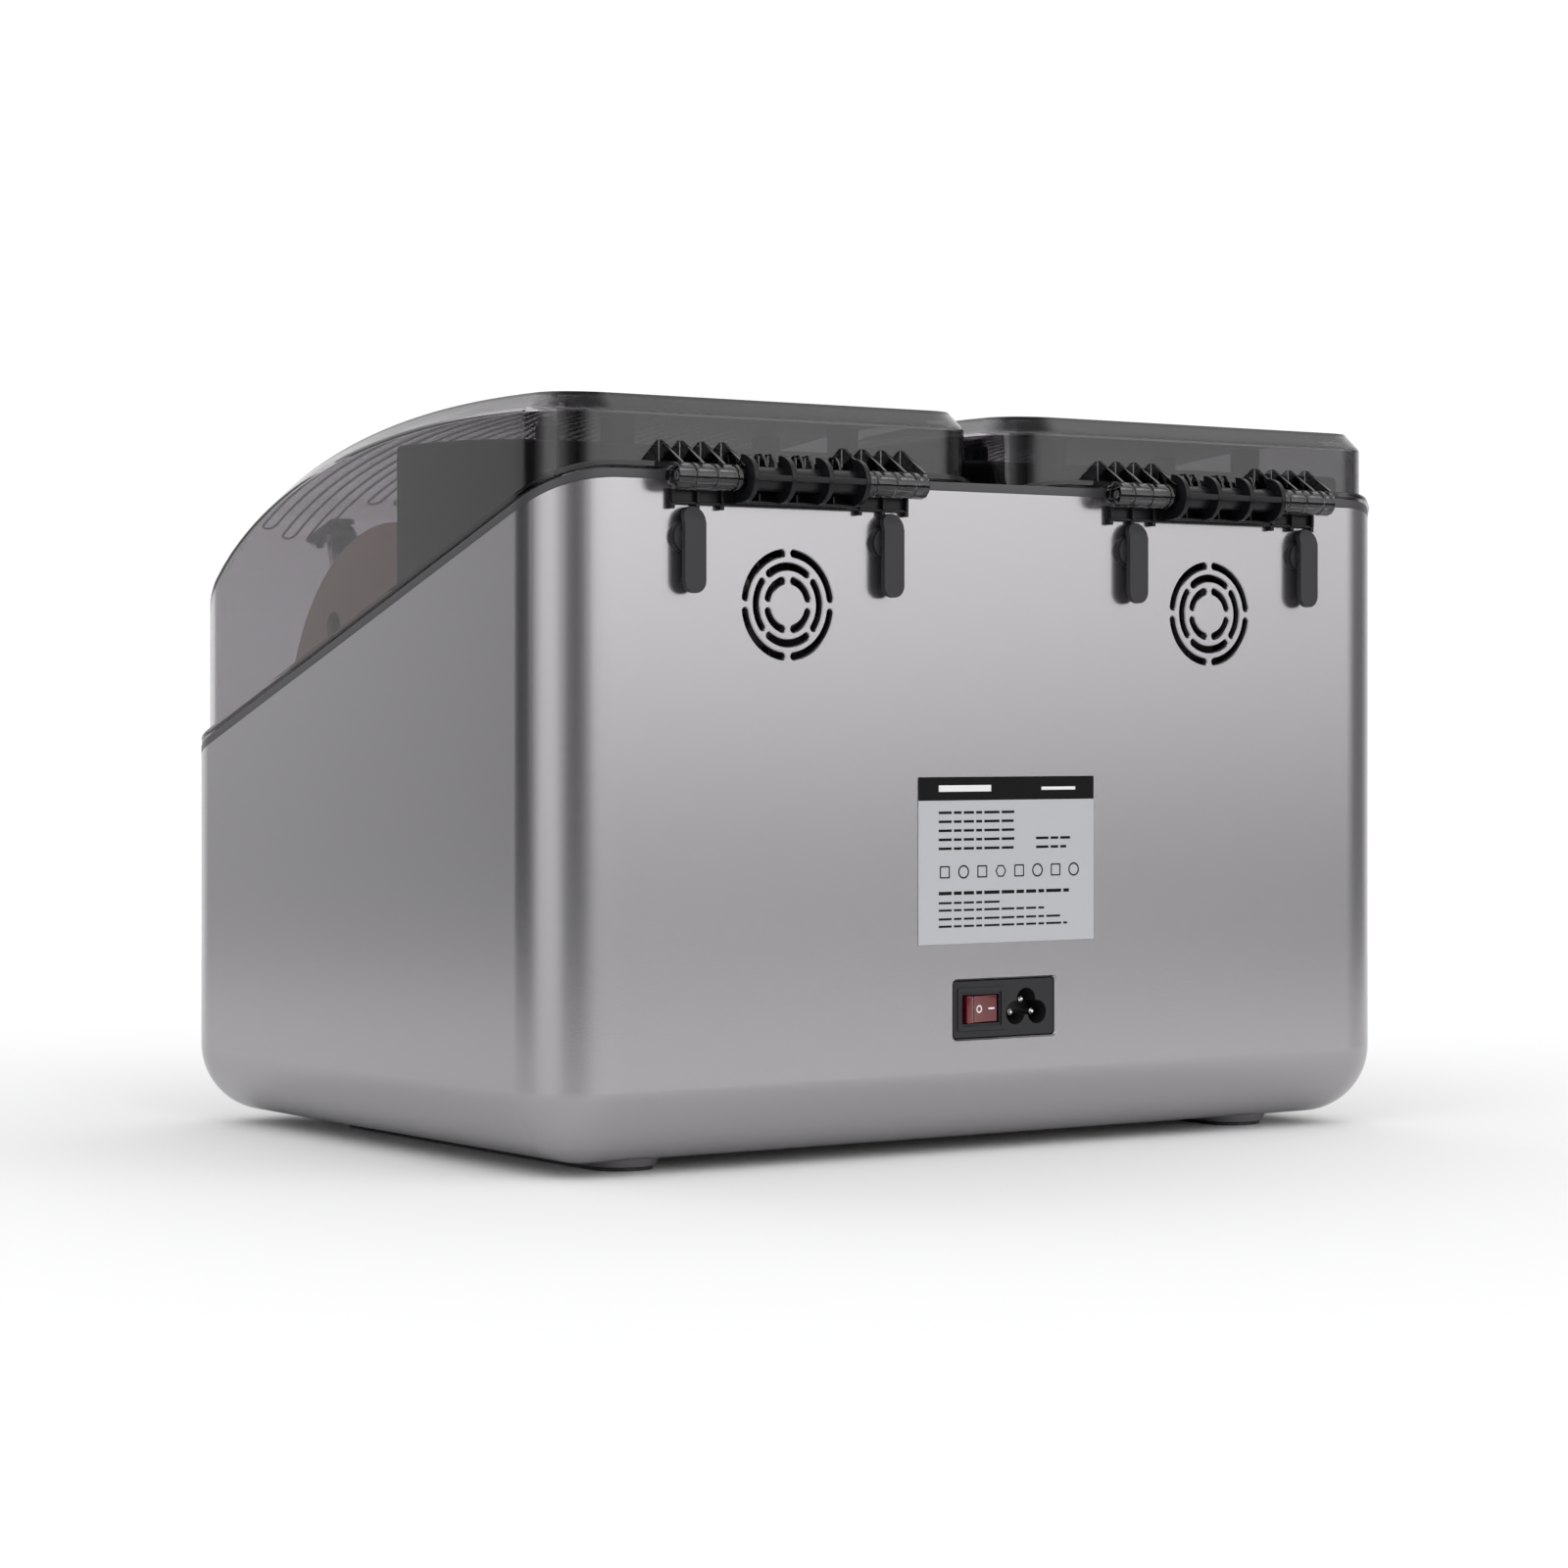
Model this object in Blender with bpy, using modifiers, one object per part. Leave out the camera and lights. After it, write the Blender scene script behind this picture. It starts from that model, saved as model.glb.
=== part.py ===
"""Four-spool filament dryer box: a grey housing with two smoked lids hinged at the rear.

Design values are in millimetres and MM turns them into Blender's metres. +Z is up, the front faces -Y,
and the origin is under the middle of the whole object, on the surface that it stands on.
"Left" and "right" are as the user sees them from the front, so the right chamber is at +X.
"""

import math

import bmesh
import bpy
from mathutils import Matrix, Vector

MM = 0.001
GAP = 0.3  # clearance between separate pieces

# Housing
HALF_WIDTH = 232.0
FRONT_Y = -182.0
REAR_Y = 163.0
CORNER_R = 32.0
WALL = 2.6
FOOT_PAD = 1.8
PLINTH = 3.6
BASE_Z = FOOT_PAD + PLINTH
PLINTH_X = 170.0
PLINTH_HALF = 15.0
PLINTH_Y = (-111.0, 130.0)

# Rim: the slanted top edge that the lids close on
RIM_FRONT_Z = 167.7
RIM_SLOPE = 0.344
RIM_LIFT = 3.0
RIM_BLEND_Y = 130.0
FRAME_TOP = 4.0
GROOVE_DEPTH = 2.0
FLANGE_BOTTOM = 4.9
LID_WALL = 2.3
FLANGE_TOP = FLANGE_BOTTOM + LID_WALL * 1.06
FLANGE_WIDTH = 4.0

# Lids
UNIT_X = 116.5  # middle of a chamber's hinge, fan and lid bosses
LID_X = (6.5, 228.0)
LID_Y = (-178.0, 159.0)
LID_R = 28.0
CHAMFER = 7.0
CROWN_Y = 118.7
CROWN_POWER = 2.2
NOSE_Z = 205.4
SHOULDER = (294.0, 112.6)  # reach to the front and rise above the nose of the side wall's top edge
PLATEAU = (297.0, 120.1)  # the same for the edge of the raised top

# Hinge
AXIS_Y = REAR_Y + 9.0
AXIS_Z = 290.4
PIN_R = 1.5
SLEEVE_R = 5.2
RIB_R = 10.0
RIB_T = 2.4
RIB_OFFSETS = (-28.5, -9.5, 9.5, 28.5)
KNUCKLE_R = 5.8
KNUCKLE_X = (32.4, 67.3)
FIN_T = 1.5
FIN_OFFSETS = (34.5, 44.8, 55.1, 65.4)
BRACKET_HALF = 61.0
BRACKET_Z = (279.9, 283.6)
BRACKET_FEET = (36.0, 48.0, 60.0)

# Spools and rollers
BAY_X = (67.7, 169.3)
SPOOL_R = 100.0
SPOOL_WIDTH = 66.0
FLANGE_CARD = 3.0
SPOOL_Y = -24.5
SPOOL_Z = 178.8
HUB_R = 26.5
CORE_R = 42.0
WINDING_R = 86.0
ROLLER_R = 9.0
ROLLER_HALF = 41.0
ROLLER_SPREAD = 60.0
ROLLER_Z = SPOOL_Z - math.sqrt((SPOOL_R + ROLLER_R + GAP) ** 2 - ROLLER_SPREAD**2)
AXLE_R = 3.0
AXLE_HALF = 45.2

# Chamber tubs
TUB_X = (17.0, 217.0)
TUB_Y = (-162.0, 90.0)
TUB_WALL = 2.0
TUB_FLOOR = 68.0
TUB_R = 12.0

# Filament outlets and their plugs
REAR_PORT_Z = 265.8
PORT_R = 5.4
PLUG_R = 5.0
PADDLE = (10.4, 36.0, 2.6)
FRONT_PORT = (-132.0, 276.0)
FRONT_PORT_TILT = 18.0
FRONT_PORT_RIM = 3.2

# Fans, heaters and electrics
FAN_Z = 238.5
FAN_HALF = 30.0
FAN_Y = (144.0, 159.0)
GRILLE_RINGS = ((21.9, 7.6, 45.0), (16.2, 9.0, 0.0), (10.5, 15.8, 45.0))
GRILLE_SLOT = 3.0
INLET_X = 1.0
INLET_Z = 63.9
INLET_HALF = (28.0, 12.6)
ROCKER_X = 13.6
SOCKET_LOBES = ((-5.4, 61.5), (-17.3, 61.5), (-11.35, 67.1))
LOBE_R = 5.2
DISPLAY_HALF = (66.0, 27.0)
DISPLAY_Z = 108.0


# ---------------------------------------------------------------- scene, collections and materials

for old in list(bpy.data.objects):
    bpy.data.objects.remove(old)
PARTS = bpy.data.collections.new("filament_dryer_box")
CUTTERS = bpy.data.collections.new("cutters")
for group in (PARTS, CUTTERS):
    bpy.context.scene.collection.children.link(group)


def material(name, colour, roughness, metallic=0.0, transmission=0.0):
    made = bpy.data.materials.new(name)
    made.use_nodes = True
    shader = made.node_tree.nodes["Principled BSDF"]
    shader.inputs["Base Color"].default_value = (*colour, 1.0)
    shader.inputs["Roughness"].default_value = roughness
    shader.inputs["Metallic"].default_value = metallic
    shader.inputs["Transmission Weight"].default_value = transmission
    return made


GREY_PAINT = material("housing_paint", (0.36, 0.35, 0.37), 0.35, metallic=0.7)
SMOKED = material("smoked_plastic", (0.16, 0.16, 0.17), 0.06, transmission=0.9)
BLACK = material("black_plastic", (0.035, 0.035, 0.038), 0.45)
RUBBER = material("black_rubber", (0.02, 0.02, 0.02), 0.8)
STEEL = material("steel", (0.6, 0.6, 0.6), 0.25, metallic=1.0)
ALLOY = material("heater_alloy", (0.7, 0.7, 0.7), 0.4, metallic=1.0)
CARD = material("cardboard", (0.33, 0.23, 0.16), 0.85)
FILAMENT = material("filament", (0.03, 0.03, 0.03), 0.4)
BOARD = material("circuit_board", (0.02, 0.12, 0.06), 0.5)
GLASS = material("display_glass", (0.01, 0.01, 0.012), 0.05)
LABEL = material("label_foil", (0.55, 0.56, 0.58), 0.4, metallic=0.5)
RED = material("rocker_red", (0.35, 0.0, 0.01), 0.25)


# ---------------------------------------------------------------- shape helpers


def add_object(name, mesh, finish):
    """A named part when it has a finish, and otherwise a hidden helper for a Boolean."""
    obj = bpy.data.objects.new(name, mesh)
    (PARTS if finish else CUTTERS).objects.link(obj)
    if finish:
        mesh.materials.append(finish)
    else:
        obj.hide_render = True
        obj.display_type = "WIRE"
    return obj


def from_bmesh(name, bm, finish):
    mesh = bpy.data.meshes.new(name)
    bm.to_mesh(mesh)
    bm.free()
    return add_object(name, mesh, finish)


def smooth(obj, angle=35.0):
    obj.data.shade_smooth()
    obj.data.set_sharp_from_angle(angle=math.radians(angle))
    return obj


def box(name, low, high, finish=None, bevel=0.0):
    bm = bmesh.new()
    bmesh.ops.create_cube(bm, size=MM)
    size = [b - a for a, b in zip(low, high)]
    bmesh.ops.scale(bm, vec=size, verts=bm.verts)
    if bevel:
        bmesh.ops.bevel(bm, geom=bm.edges[:], offset=bevel * MM, segments=2, affect="EDGES", profile=0.5)
    obj = from_bmesh(name, bm, finish)
    obj.location = [(a + b) / 2 * MM for a, b in zip(low, high)]
    return obj


def rod(name, radius, start, end, finish=None, sides=20):
    axis = Vector(end) - Vector(start)
    bm = bmesh.new()
    bmesh.ops.create_cone(
        bm, cap_ends=True, segments=sides, radius1=radius * MM, radius2=radius * MM, depth=axis.length * MM
    )
    obj = smooth(from_bmesh(name, bm, finish))
    obj.location = (Vector(start) + Vector(end)) / 2 * MM
    obj.rotation_euler = axis.to_track_quat("Z", "Y").to_euler()
    return obj


# How a flat outline's two axes and its extrusion lie in the object's frame
LIE = {
    "X": Matrix(((0, 0, 1), (1, 0, 0), (0, 1, 0))),
    "Y": Matrix(((1, 0, 0), (0, 0, -1), (0, 1, 0))),
    "Z": Matrix.Identity(3),
}


def prism(name, loops, low, high, along="Z", finish=None):
    """An outline, with its holes, extruded between two levels: (y, z) along X, (x, z) along Y or (x, y) along Z."""
    curve = bpy.data.curves.new(name, "CURVE")
    curve.dimensions = "2D"
    curve.fill_mode = "BOTH"
    curve.extrude = (high - low) / 2 * MM
    for loop in loops:
        spline = curve.splines.new("POLY")
        spline.points.add(len(loop) - 1)
        for point, (u, v) in zip(spline.points, loop):
            point.co = (u * MM, v * MM, 0, 1)
        spline.use_cyclic_u = True
    guide = bpy.data.objects.new(name + "_outline", curve)
    CUTTERS.objects.link(guide)
    middle = Vector([(low + high) / 2 * MM if letter == along else 0 for letter in "XYZ"])
    guide.matrix_world = Matrix.Translation(middle) @ LIE[along].to_4x4()
    evaluated = guide.evaluated_get(bpy.context.evaluated_depsgraph_get())
    mesh = bpy.data.meshes.new_from_object(evaluated)
    bm = bmesh.new()
    bm.from_mesh(mesh)
    bmesh.ops.remove_doubles(bm, verts=bm.verts, dist=1e-7)
    bm.to_mesh(mesh)
    bm.free()
    mesh.materials.clear()
    obj = add_object(name, mesh, finish)
    obj.matrix_world = guide.matrix_world
    bpy.data.objects.remove(guide)
    return obj


def arc(cx, cy, radius, start, end, steps):
    """Points on an arc, with its angles in degrees."""
    angles = [math.radians(start + (end - start) * i / steps) for i in range(steps + 1)]
    return [(cx + radius * math.cos(a), cy + radius * math.sin(a)) for a in angles]


def circle(cx, cy, radius, sides):
    return arc(cx, cy, radius, 0, 360, sides)[:-1]


def rounded_rect(x0, x1, y0, y1, radius, steps=5):
    corners = (
        (x1 - radius, y1 - radius, 0),
        (x0 + radius, y1 - radius, 90),
        (x0 + radius, y0 + radius, 180),
        (x1 - radius, y0 + radius, 270),
    )
    return [p for cx, cy, a in corners for p in arc(cx, cy, radius, a, a + 90, steps)]


def merged(name, pieces):
    """One hidden helper from several that don't meet, so that a single Boolean takes them all."""
    bpy.context.view_layer.update()
    bm = bmesh.new()
    for piece in pieces:
        copy = piece.data.copy()
        copy.transform(piece.matrix_world)
        bm.from_mesh(copy)
        bpy.data.meshes.remove(copy)
        bpy.data.objects.remove(piece)
    return from_bmesh(name, bm, None)


def boolean(obj, other, operation):
    modifier = obj.modifiers.new(other.name, "BOOLEAN")
    modifier.operation = operation
    modifier.object = other
    modifier.solver = "EXACT"


def cut(obj, *cutters):
    for cutter in cutters:
        boolean(obj, cutter, "DIFFERENCE")
    return obj


def join(obj, *others):
    for other in others:
        boolean(obj, other, "UNION")
    return obj


def turned(name, profile, finish, steps):
    """A closed (radius, height) profile turned about the object's own X axis."""
    bm = bmesh.new()
    points = [bm.verts.new((x * MM, 0, r * MM)) for r, x in profile]
    for a, b in zip(points, points[1:] + points[:1]):
        if a.co.z > 0 or b.co.z > 0:
            bm.edges.new((a, b))
    obj = from_bmesh(name, bm, finish)
    screw = obj.modifiers.new("turn", "SCREW")
    screw.axis = "X"
    screw.steps = steps
    screw.render_steps = steps
    screw.use_merge_vertices = True
    screw.merge_threshold = 0.00001
    screw.use_normal_flip = True
    screw.use_smooth_shade = False
    return obj


# ---------------------------------------------------------------- rim and lid curves


def rim_z(y):
    """Height of the grey housing's top edge: one slope from the front, easing up at the rear."""
    t = min(max((y - RIM_BLEND_Y) / (REAR_Y - RIM_BLEND_Y), 0.0), 1.0)
    return RIM_FRONT_Z + RIM_SLOPE * (y - FRONT_Y) + RIM_LIFT * t * t * (3 - 2 * t)


def crown_z(y, reach, rise):
    """Height of a lid's top: a superellipse that is level near the hinge and ends upright at the front."""
    u = min(abs(CROWN_Y - y) / reach, 1.0)
    return NOSE_Z + rise * (1 - u**CROWN_POWER) ** (1 / CROWN_POWER)


def hood_top_z(y):
    """Height of an air hood's top, which falls towards the rear."""
    return 310.8 - 0.00047 * max(y - 8.0, 0.0) ** 2


RIM_STATIONS = [FRONT_Y - 6] + [RIM_BLEND_Y + i * (REAR_Y - RIM_BLEND_Y) / 5 for i in range(6)] + [REAR_Y + 6]


def rim_slab(name, low, high, half_width=240.0):
    """A slab across the whole width that follows the rim, between two heights above it."""
    under = [(y, rim_z(y) + low) for y in RIM_STATIONS]
    over = [(y, rim_z(y) + high) for y in reversed(RIM_STATIONS)]
    return prism(name, [under + over], -half_width, half_width, "X")


def stations(x_half, front, rear, radius, steps=5, spans=8, round_front=True):
    """(half width, y) down one side of a rounded rectangle, from front to rear."""
    ends = []
    if round_front:
        ends = [(x_half - radius + radius * math.sin(a), front + radius - radius * math.cos(a)) for a in quarter(steps)]
    else:
        ends = [(x_half, front)]
    first, last = ends[-1][1], rear - radius
    middle = [(x_half, first + (last - first) * i / spans) for i in range(1, spans)]
    back = [(x_half - radius + radius * math.cos(a), rear - radius + radius * math.sin(a)) for a in quarter(steps)]
    return ends + middle + back


def quarter(steps):
    return [math.pi / 2 * i / steps for i in range(steps + 1)]


def canopy(name, centre_x, rings, thickness, finish, front_closed=True):
    """A shell from rings of (half width, y, z) stations, with its top joined straight across from side to side."""
    bm = bmesh.new()
    levels = []
    for ring in rings:
        right = [bm.verts.new(((centre_x + h) * MM, y * MM, z * MM)) for h, y, z in ring]
        left = [bm.verts.new(((centre_x - h) * MM, y * MM, z * MM)) for h, y, z in ring]
        levels.append((right, left))
    last = len(rings[0]) - 1
    for (low_r, low_l), (up_r, up_l) in zip(levels, levels[1:]):
        for i in range(last):
            bm.faces.new((low_r[i], low_r[i + 1], up_r[i + 1], up_r[i]))
            bm.faces.new((low_l[i + 1], low_l[i], up_l[i], up_l[i + 1]))
        bm.faces.new((low_r[last], low_l[last], up_l[last], up_r[last]))
        if front_closed:
            bm.faces.new((low_l[0], low_r[0], up_r[0], up_l[0]))
    right, left = levels[-1]
    for i in range(last):
        bm.faces.new((right[i], right[i + 1], left[i + 1], left[i]))
    obj = smooth(from_bmesh(name, bm, finish))
    solidify = obj.modifiers.new("wall", "SOLIDIFY")
    solidify.thickness = thickness * MM
    solidify.offset = -1
    solidify.use_even_offset = True
    return obj


# ---------------------------------------------------------------- housing


def grille_slots(centre_x):
    """The fan grille: three rings of four arc slots with round ends."""
    slots = []
    for radius, margin, turn in GRILLE_RINGS:
        for k in range(4):
            middle = turn + 90 * k
            half = 45 - margin
            slots.append(arc_slot(centre_x, radius, middle - half, middle + half))
    return slots


def arc_slot(centre_x, radius, start, end):
    w = GRILLE_SLOT / 2
    tips = [(centre_x + radius * math.cos(math.radians(a)), FAN_Z + radius * math.sin(math.radians(a))) for a in (start, end)]
    outline = arc(centre_x, FAN_Z, radius + w, start, end, 5)
    outline += arc(*tips[1], w, end, end + 180, 3)[1:-1]
    outline += arc(centre_x, FAN_Z, radius - w, end, start, 5)
    outline += arc(*tips[0], w, start + 180, start + 360, 3)[1:-1]
    return prism("slot", [outline], REAR_Y - 8, REAR_Y + 5, "Y")


def plinth(sign):
    """The tapered rail under the housing that a foot pad is glued to."""
    x = sign * PLINTH_X
    outline = rounded_rect(x - PLINTH_HALF, x + PLINTH_HALF, *PLINTH_Y, PLINTH_HALF - 0.5, 4)
    rail = prism("plinth", [outline], FOOT_PAD, BASE_Z + WALL / 2, "Z")
    bm = bmesh.new()
    bm.from_mesh(rail.data)
    middle = Vector((x * MM, sum(PLINTH_Y) / 2 * MM, 0))
    for v in bm.verts:
        if v.co.z > 0:
            v.co.x += math.copysign(3.5 * MM, v.co.x - middle.x)
            v.co.y += math.copysign(3.5 * MM, v.co.y - middle.y)
    bm.to_mesh(rail.data)
    bm.free()
    return rail


def body_shell():
    bm = bmesh.new()
    bmesh.ops.create_cube(bm, size=MM)
    height = 320.0 - BASE_Z
    bmesh.ops.scale(bm, vec=(2 * HALF_WIDTH, REAR_Y - FRONT_Y, height), verts=bm.verts)
    top = [f for f in bm.faces if f.normal.z > 0.9]
    bmesh.ops.delete(bm, geom=top, context="FACES")
    rounded = [e for e in bm.edges if not all(v.co.z > 0 for v in e.verts)]
    bmesh.ops.bevel(bm, geom=rounded, offset=CORNER_R * MM, segments=5, affect="EDGES", profile=0.5)
    shell = smooth(from_bmesh("body_shell", bm, GREY_PAINT))
    shell.location = (0, (FRONT_Y + REAR_Y) / 2 * MM, (BASE_Z + height / 2) * MM)
    solidify = shell.modifiers.new("wall", "SOLIDIFY")
    solidify.thickness = WALL * MM
    solidify.offset = -1
    solidify.use_even_offset = True
    join(shell, merged("plinths", [plinth(sign) for sign in (-1, 1)]))
    above = [(y, rim_z(y)) for y in RIM_STATIONS] + [(REAR_Y + 6, 330), (FRONT_Y - 6, 330)]
    cut(shell, prism("above_rim", [above], -240, 240, "X"))
    cut(shell, merged("grilles", grille_slots(UNIT_X) + grille_slots(-UNIT_X)))
    ports = [
        rod("port", PORT_R, (s * x, REAR_Y - 8, REAR_PORT_Z), (s * x, REAR_Y + 5, REAR_PORT_Z), sides=16)
        for s in (-1, 1)
        for x in BAY_X
    ]
    inlet = rounded_rect(
        INLET_X - INLET_HALF[0] - GAP,
        INLET_X + INLET_HALF[0] + GAP,
        INLET_Z - INLET_HALF[1] - GAP,
        INLET_Z + INLET_HALF[1] + GAP,
        1.6,
        3,
    )
    screen = rounded_rect(
        -DISPLAY_HALF[0] - GAP,
        DISPLAY_HALF[0] + GAP,
        DISPLAY_Z - DISPLAY_HALF[1] - GAP,
        DISPLAY_Z + DISPLAY_HALF[1] + GAP,
        6.0,
        4,
    )
    hatch = rounded_rect(-120.3, 120.3, -90.3, 90.3, 6.3, 3)
    holes = ports + [
        prism("inlet_hole", [inlet], REAR_Y - 8, REAR_Y + 5, "Y"),
        prism("screen_hole", [screen], FRONT_Y - 5, FRONT_Y + 8, "Y"),
        prism("hatch_hole", [hatch], BASE_Z - 5, BASE_Z + 8, "Z"),
    ]
    return cut(shell, merged("housing_holes", holes))


def rim_frame():
    """The black frame on the housing's edge, with a hole over each tub and a groove for each lid's seal."""
    outer = rounded_rect(-HALF_WIDTH, HALF_WIDTH, FRONT_Y, REAR_Y, CORNER_R)
    inside = (TUB_X[0] + TUB_WALL, TUB_X[1] - TUB_WALL)
    holes = [
        rounded_rect(x0, x1, TUB_Y[0] + TUB_WALL, TUB_Y[1] - TUB_WALL, TUB_R - TUB_WALL, 3)
        for x0, x1 in (inside, (-inside[1], -inside[0]))
    ]
    frame = smooth(prism("rim_frame", [outer, *holes], 150, 310, "Z", BLACK))
    boolean(frame, rim_slab("frame_slab", GAP, FRAME_TOP), "INTERSECT")
    groove = [seal_ring("groove", side, 0.0) for side in (-1, 1)]
    rings = merged("groove_rings", groove)
    boolean(rings, rim_slab("groove_slab", FRAME_TOP - GROOVE_DEPTH, FRAME_TOP + 3), "INTERSECT")
    return cut(frame, rings)


def seal_ring(name, side, shrink, finish=None):
    """A ring under one lid's wall, tall enough to be trimmed to the rim."""
    x0, x1 = sorted((side * LID_X[0], side * LID_X[1]))
    loops = []
    for grow in (1.0 - shrink, shrink - 3.0):
        loops.append(rounded_rect(x0 - grow, x1 + grow, LID_Y[0] - grow, LID_Y[1] + grow, LID_R + grow))
    return prism(name, loops, 150, 310, "Z", finish)


def lid_seal(name, side):
    seal = smooth(seal_ring(name, side, GAP, RUBBER))
    low, high = FRAME_TOP - GROOVE_DEPTH + GAP, FLANGE_BOTTOM - 2 * GAP
    boolean(seal, rim_slab(name + "_slab", low, high), "INTERSECT")
    return seal


def chamber_tub(name, side):
    """The black inner bin of one chamber, with saddles on its floor for the rollers' axles."""
    x0, x1 = sorted((side * TUB_X[0], side * TUB_X[1]))
    bm = bmesh.new()
    bmesh.ops.create_cube(bm, size=MM)
    height = 320.0 - TUB_FLOOR
    bmesh.ops.scale(bm, vec=(x1 - x0, TUB_Y[1] - TUB_Y[0], height), verts=bm.verts)
    bmesh.ops.delete(bm, geom=[f for f in bm.faces if f.normal.z > 0.9], context="FACES")
    rounded = [e for e in bm.edges if not all(v.co.z > 0 for v in e.verts)]
    bmesh.ops.bevel(bm, geom=rounded, offset=TUB_R * MM, segments=2, affect="EDGES", profile=0.5)
    tub = smooth(from_bmesh(name, bm, BLACK))
    tub.location = ((x0 + x1) / 2 * MM, sum(TUB_Y) / 2 * MM, (TUB_FLOOR + height / 2) * MM)
    solidify = tub.modifiers.new("wall", "SOLIDIFY")
    solidify.thickness = TUB_WALL * MM
    solidify.offset = -1
    solidify.use_even_offset = True
    middle = side * (BAY_X[0] + BAY_X[1]) / 2
    saddle_x = [(middle - 8.5, middle + 8.5)]
    for bay, out in zip(BAY_X, (-1, 1)):
        inner, outer = bay + out * (ROLLER_HALF + 0.6), bay + out * (ROLLER_HALF + 5.4)
        saddle_x.append(tuple(sorted((side * inner, side * outer))))
    posts, slots = [], []
    for y in (SPOOL_Y - ROLLER_SPREAD, SPOOL_Y + ROLLER_SPREAD):
        for low, high in saddle_x:
            posts.append(box("post", (low, y - 8, TUB_FLOOR + 1), (high, y + 8, ROLLER_Z + 4)))
        cradle = arc(y, ROLLER_Z, AXLE_R + GAP, 180, 360, 6) + [(y + AXLE_R + GAP, 120), (y - AXLE_R - GAP, 120)]
        ends = sorted((side * (TUB_X[0] + TUB_WALL - 0.6), side * (TUB_X[1] - TUB_WALL + 0.6)))
        slots.append(prism("cradle", [cradle], *ends, "X"))
    join(tub, merged(name + "_posts", posts))
    above = [(y, rim_z(y)) for y in RIM_STATIONS] + [(REAR_Y + 6, 330), (FRONT_Y - 6, 330)]
    cut(tub, prism(name + "_above", [above], -240, 240, "X"), merged(name + "_cradles", slots))
    vents = []
    for k in range(5):
        z = 206 + 9 * k
        centre = side * UNIT_X
        vents.append(box("vent", (centre - 30, TUB_Y[1] - 8, z), (centre + 30, TUB_Y[1] + 5, z + 4.5)))
    return cut(tub, merged(name + "_vents", vents))


# ---------------------------------------------------------------- hinges and lids


def rib_outline():
    """A bracket rib: a C round the sleeve, open towards the lid, on a web to the housing's wall."""
    c = arc(AXIS_Y, AXIS_Z, RIB_R, 95, -90, 10)
    foot = [(REAR_Y + 1, AXIS_Z - RIB_R), (REAR_Y + 1, AXIS_Z - 2)]
    inner = arc(AXIS_Y, AXIS_Z, SLEEVE_R + GAP, 200, 360 + 95, 10)
    return c + foot + inner


def hinge_bracket(name, side):
    x = side * UNIT_X
    y0 = REAR_Y + GAP
    low, high = BRACKET_Z
    bracket = box(name, (x - BRACKET_HALF, y0, low), (x + BRACKET_HALF, y0 + 2.2, high), BLACK)
    mid = box(name + "_mid", (x - 31, y0, low + 1), (x + 31, y0 + 1.8, AXIS_Z - 1))
    ledge = box(name + "_ledge", (x - BRACKET_HALF, y0, low), (x + BRACKET_HALF, y0 + 6.0, low + 1.6))
    feet = [
        box("foot", (x + s * f - 0.9, y0, low - 1.2), (x + s * f + 0.9, y0 + 4.2, high - 0.3))
        for s in (-1, 1)
        for f in BRACKET_FEET
    ]
    ribs = []
    for offset in RIB_OFFSETS:
        ribs.append(prism("rib", [rib_outline()], x + offset - RIB_T / 2, x + offset + RIB_T / 2, "X"))
    trim = box(name + "_trim", (x - 80, REAR_Y - 20, 250), (x + 80, y0, 320))
    tie = box(name + "_tie", (x - 29.0, AXIS_Y + 6.6, AXIS_Z - 1.4), (x + 29.0, AXIS_Y + RIB_R - 0.2, AXIS_Z + 1.4))
    join(bracket, mid, ledge, merged(name + "_feet", feet), merged(name + "_ribs", ribs), tie)
    return cut(bracket, trim)


def hinge_sleeve(name, side):
    x = side * UNIT_X
    loops = [circle(AXIS_Y, AXIS_Z, SLEEVE_R, 20), circle(AXIS_Y, AXIS_Z, PIN_R + GAP, 12)]
    return smooth(prism(name, loops, x - 31.5, x + 31.5, "X", BLACK))


def lid_rings(side):
    """The rings of a lid's outside: flange edge, wall foot, shoulder and the edge of the raised top."""
    half = (LID_X[1] - LID_X[0]) / 2
    grown = stations(half + FLANGE_WIDTH, LID_Y[0] - FLANGE_WIDTH, LID_Y[1] + FLANGE_WIDTH, LID_R + FLANGE_WIDTH)
    plain = stations(half, *LID_Y, LID_R)
    inset = stations(half - CHAMFER, LID_Y[0] + CHAMFER, LID_Y[1] - CHAMFER, LID_R - CHAMFER)
    return [
        [(h, y, rim_z(y) + FLANGE_TOP) for h, y in grown],
        [(h, y, rim_z(y) + FLANGE_TOP) for h, y in plain],
        [(h, y, crown_z(y, *SHOULDER)) for h, y in plain],
        [(h, y, crown_z(y, *PLATEAU)) for h, y in inset],
    ]


def front_port_axis(distance):
    """A point on a front outlet's axis, that far outside the lid, as (y, z)."""
    a = math.radians(FRONT_PORT_TILT)
    return FRONT_PORT[0] - distance * math.sin(a), FRONT_PORT[1] + distance * math.cos(a)


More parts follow.
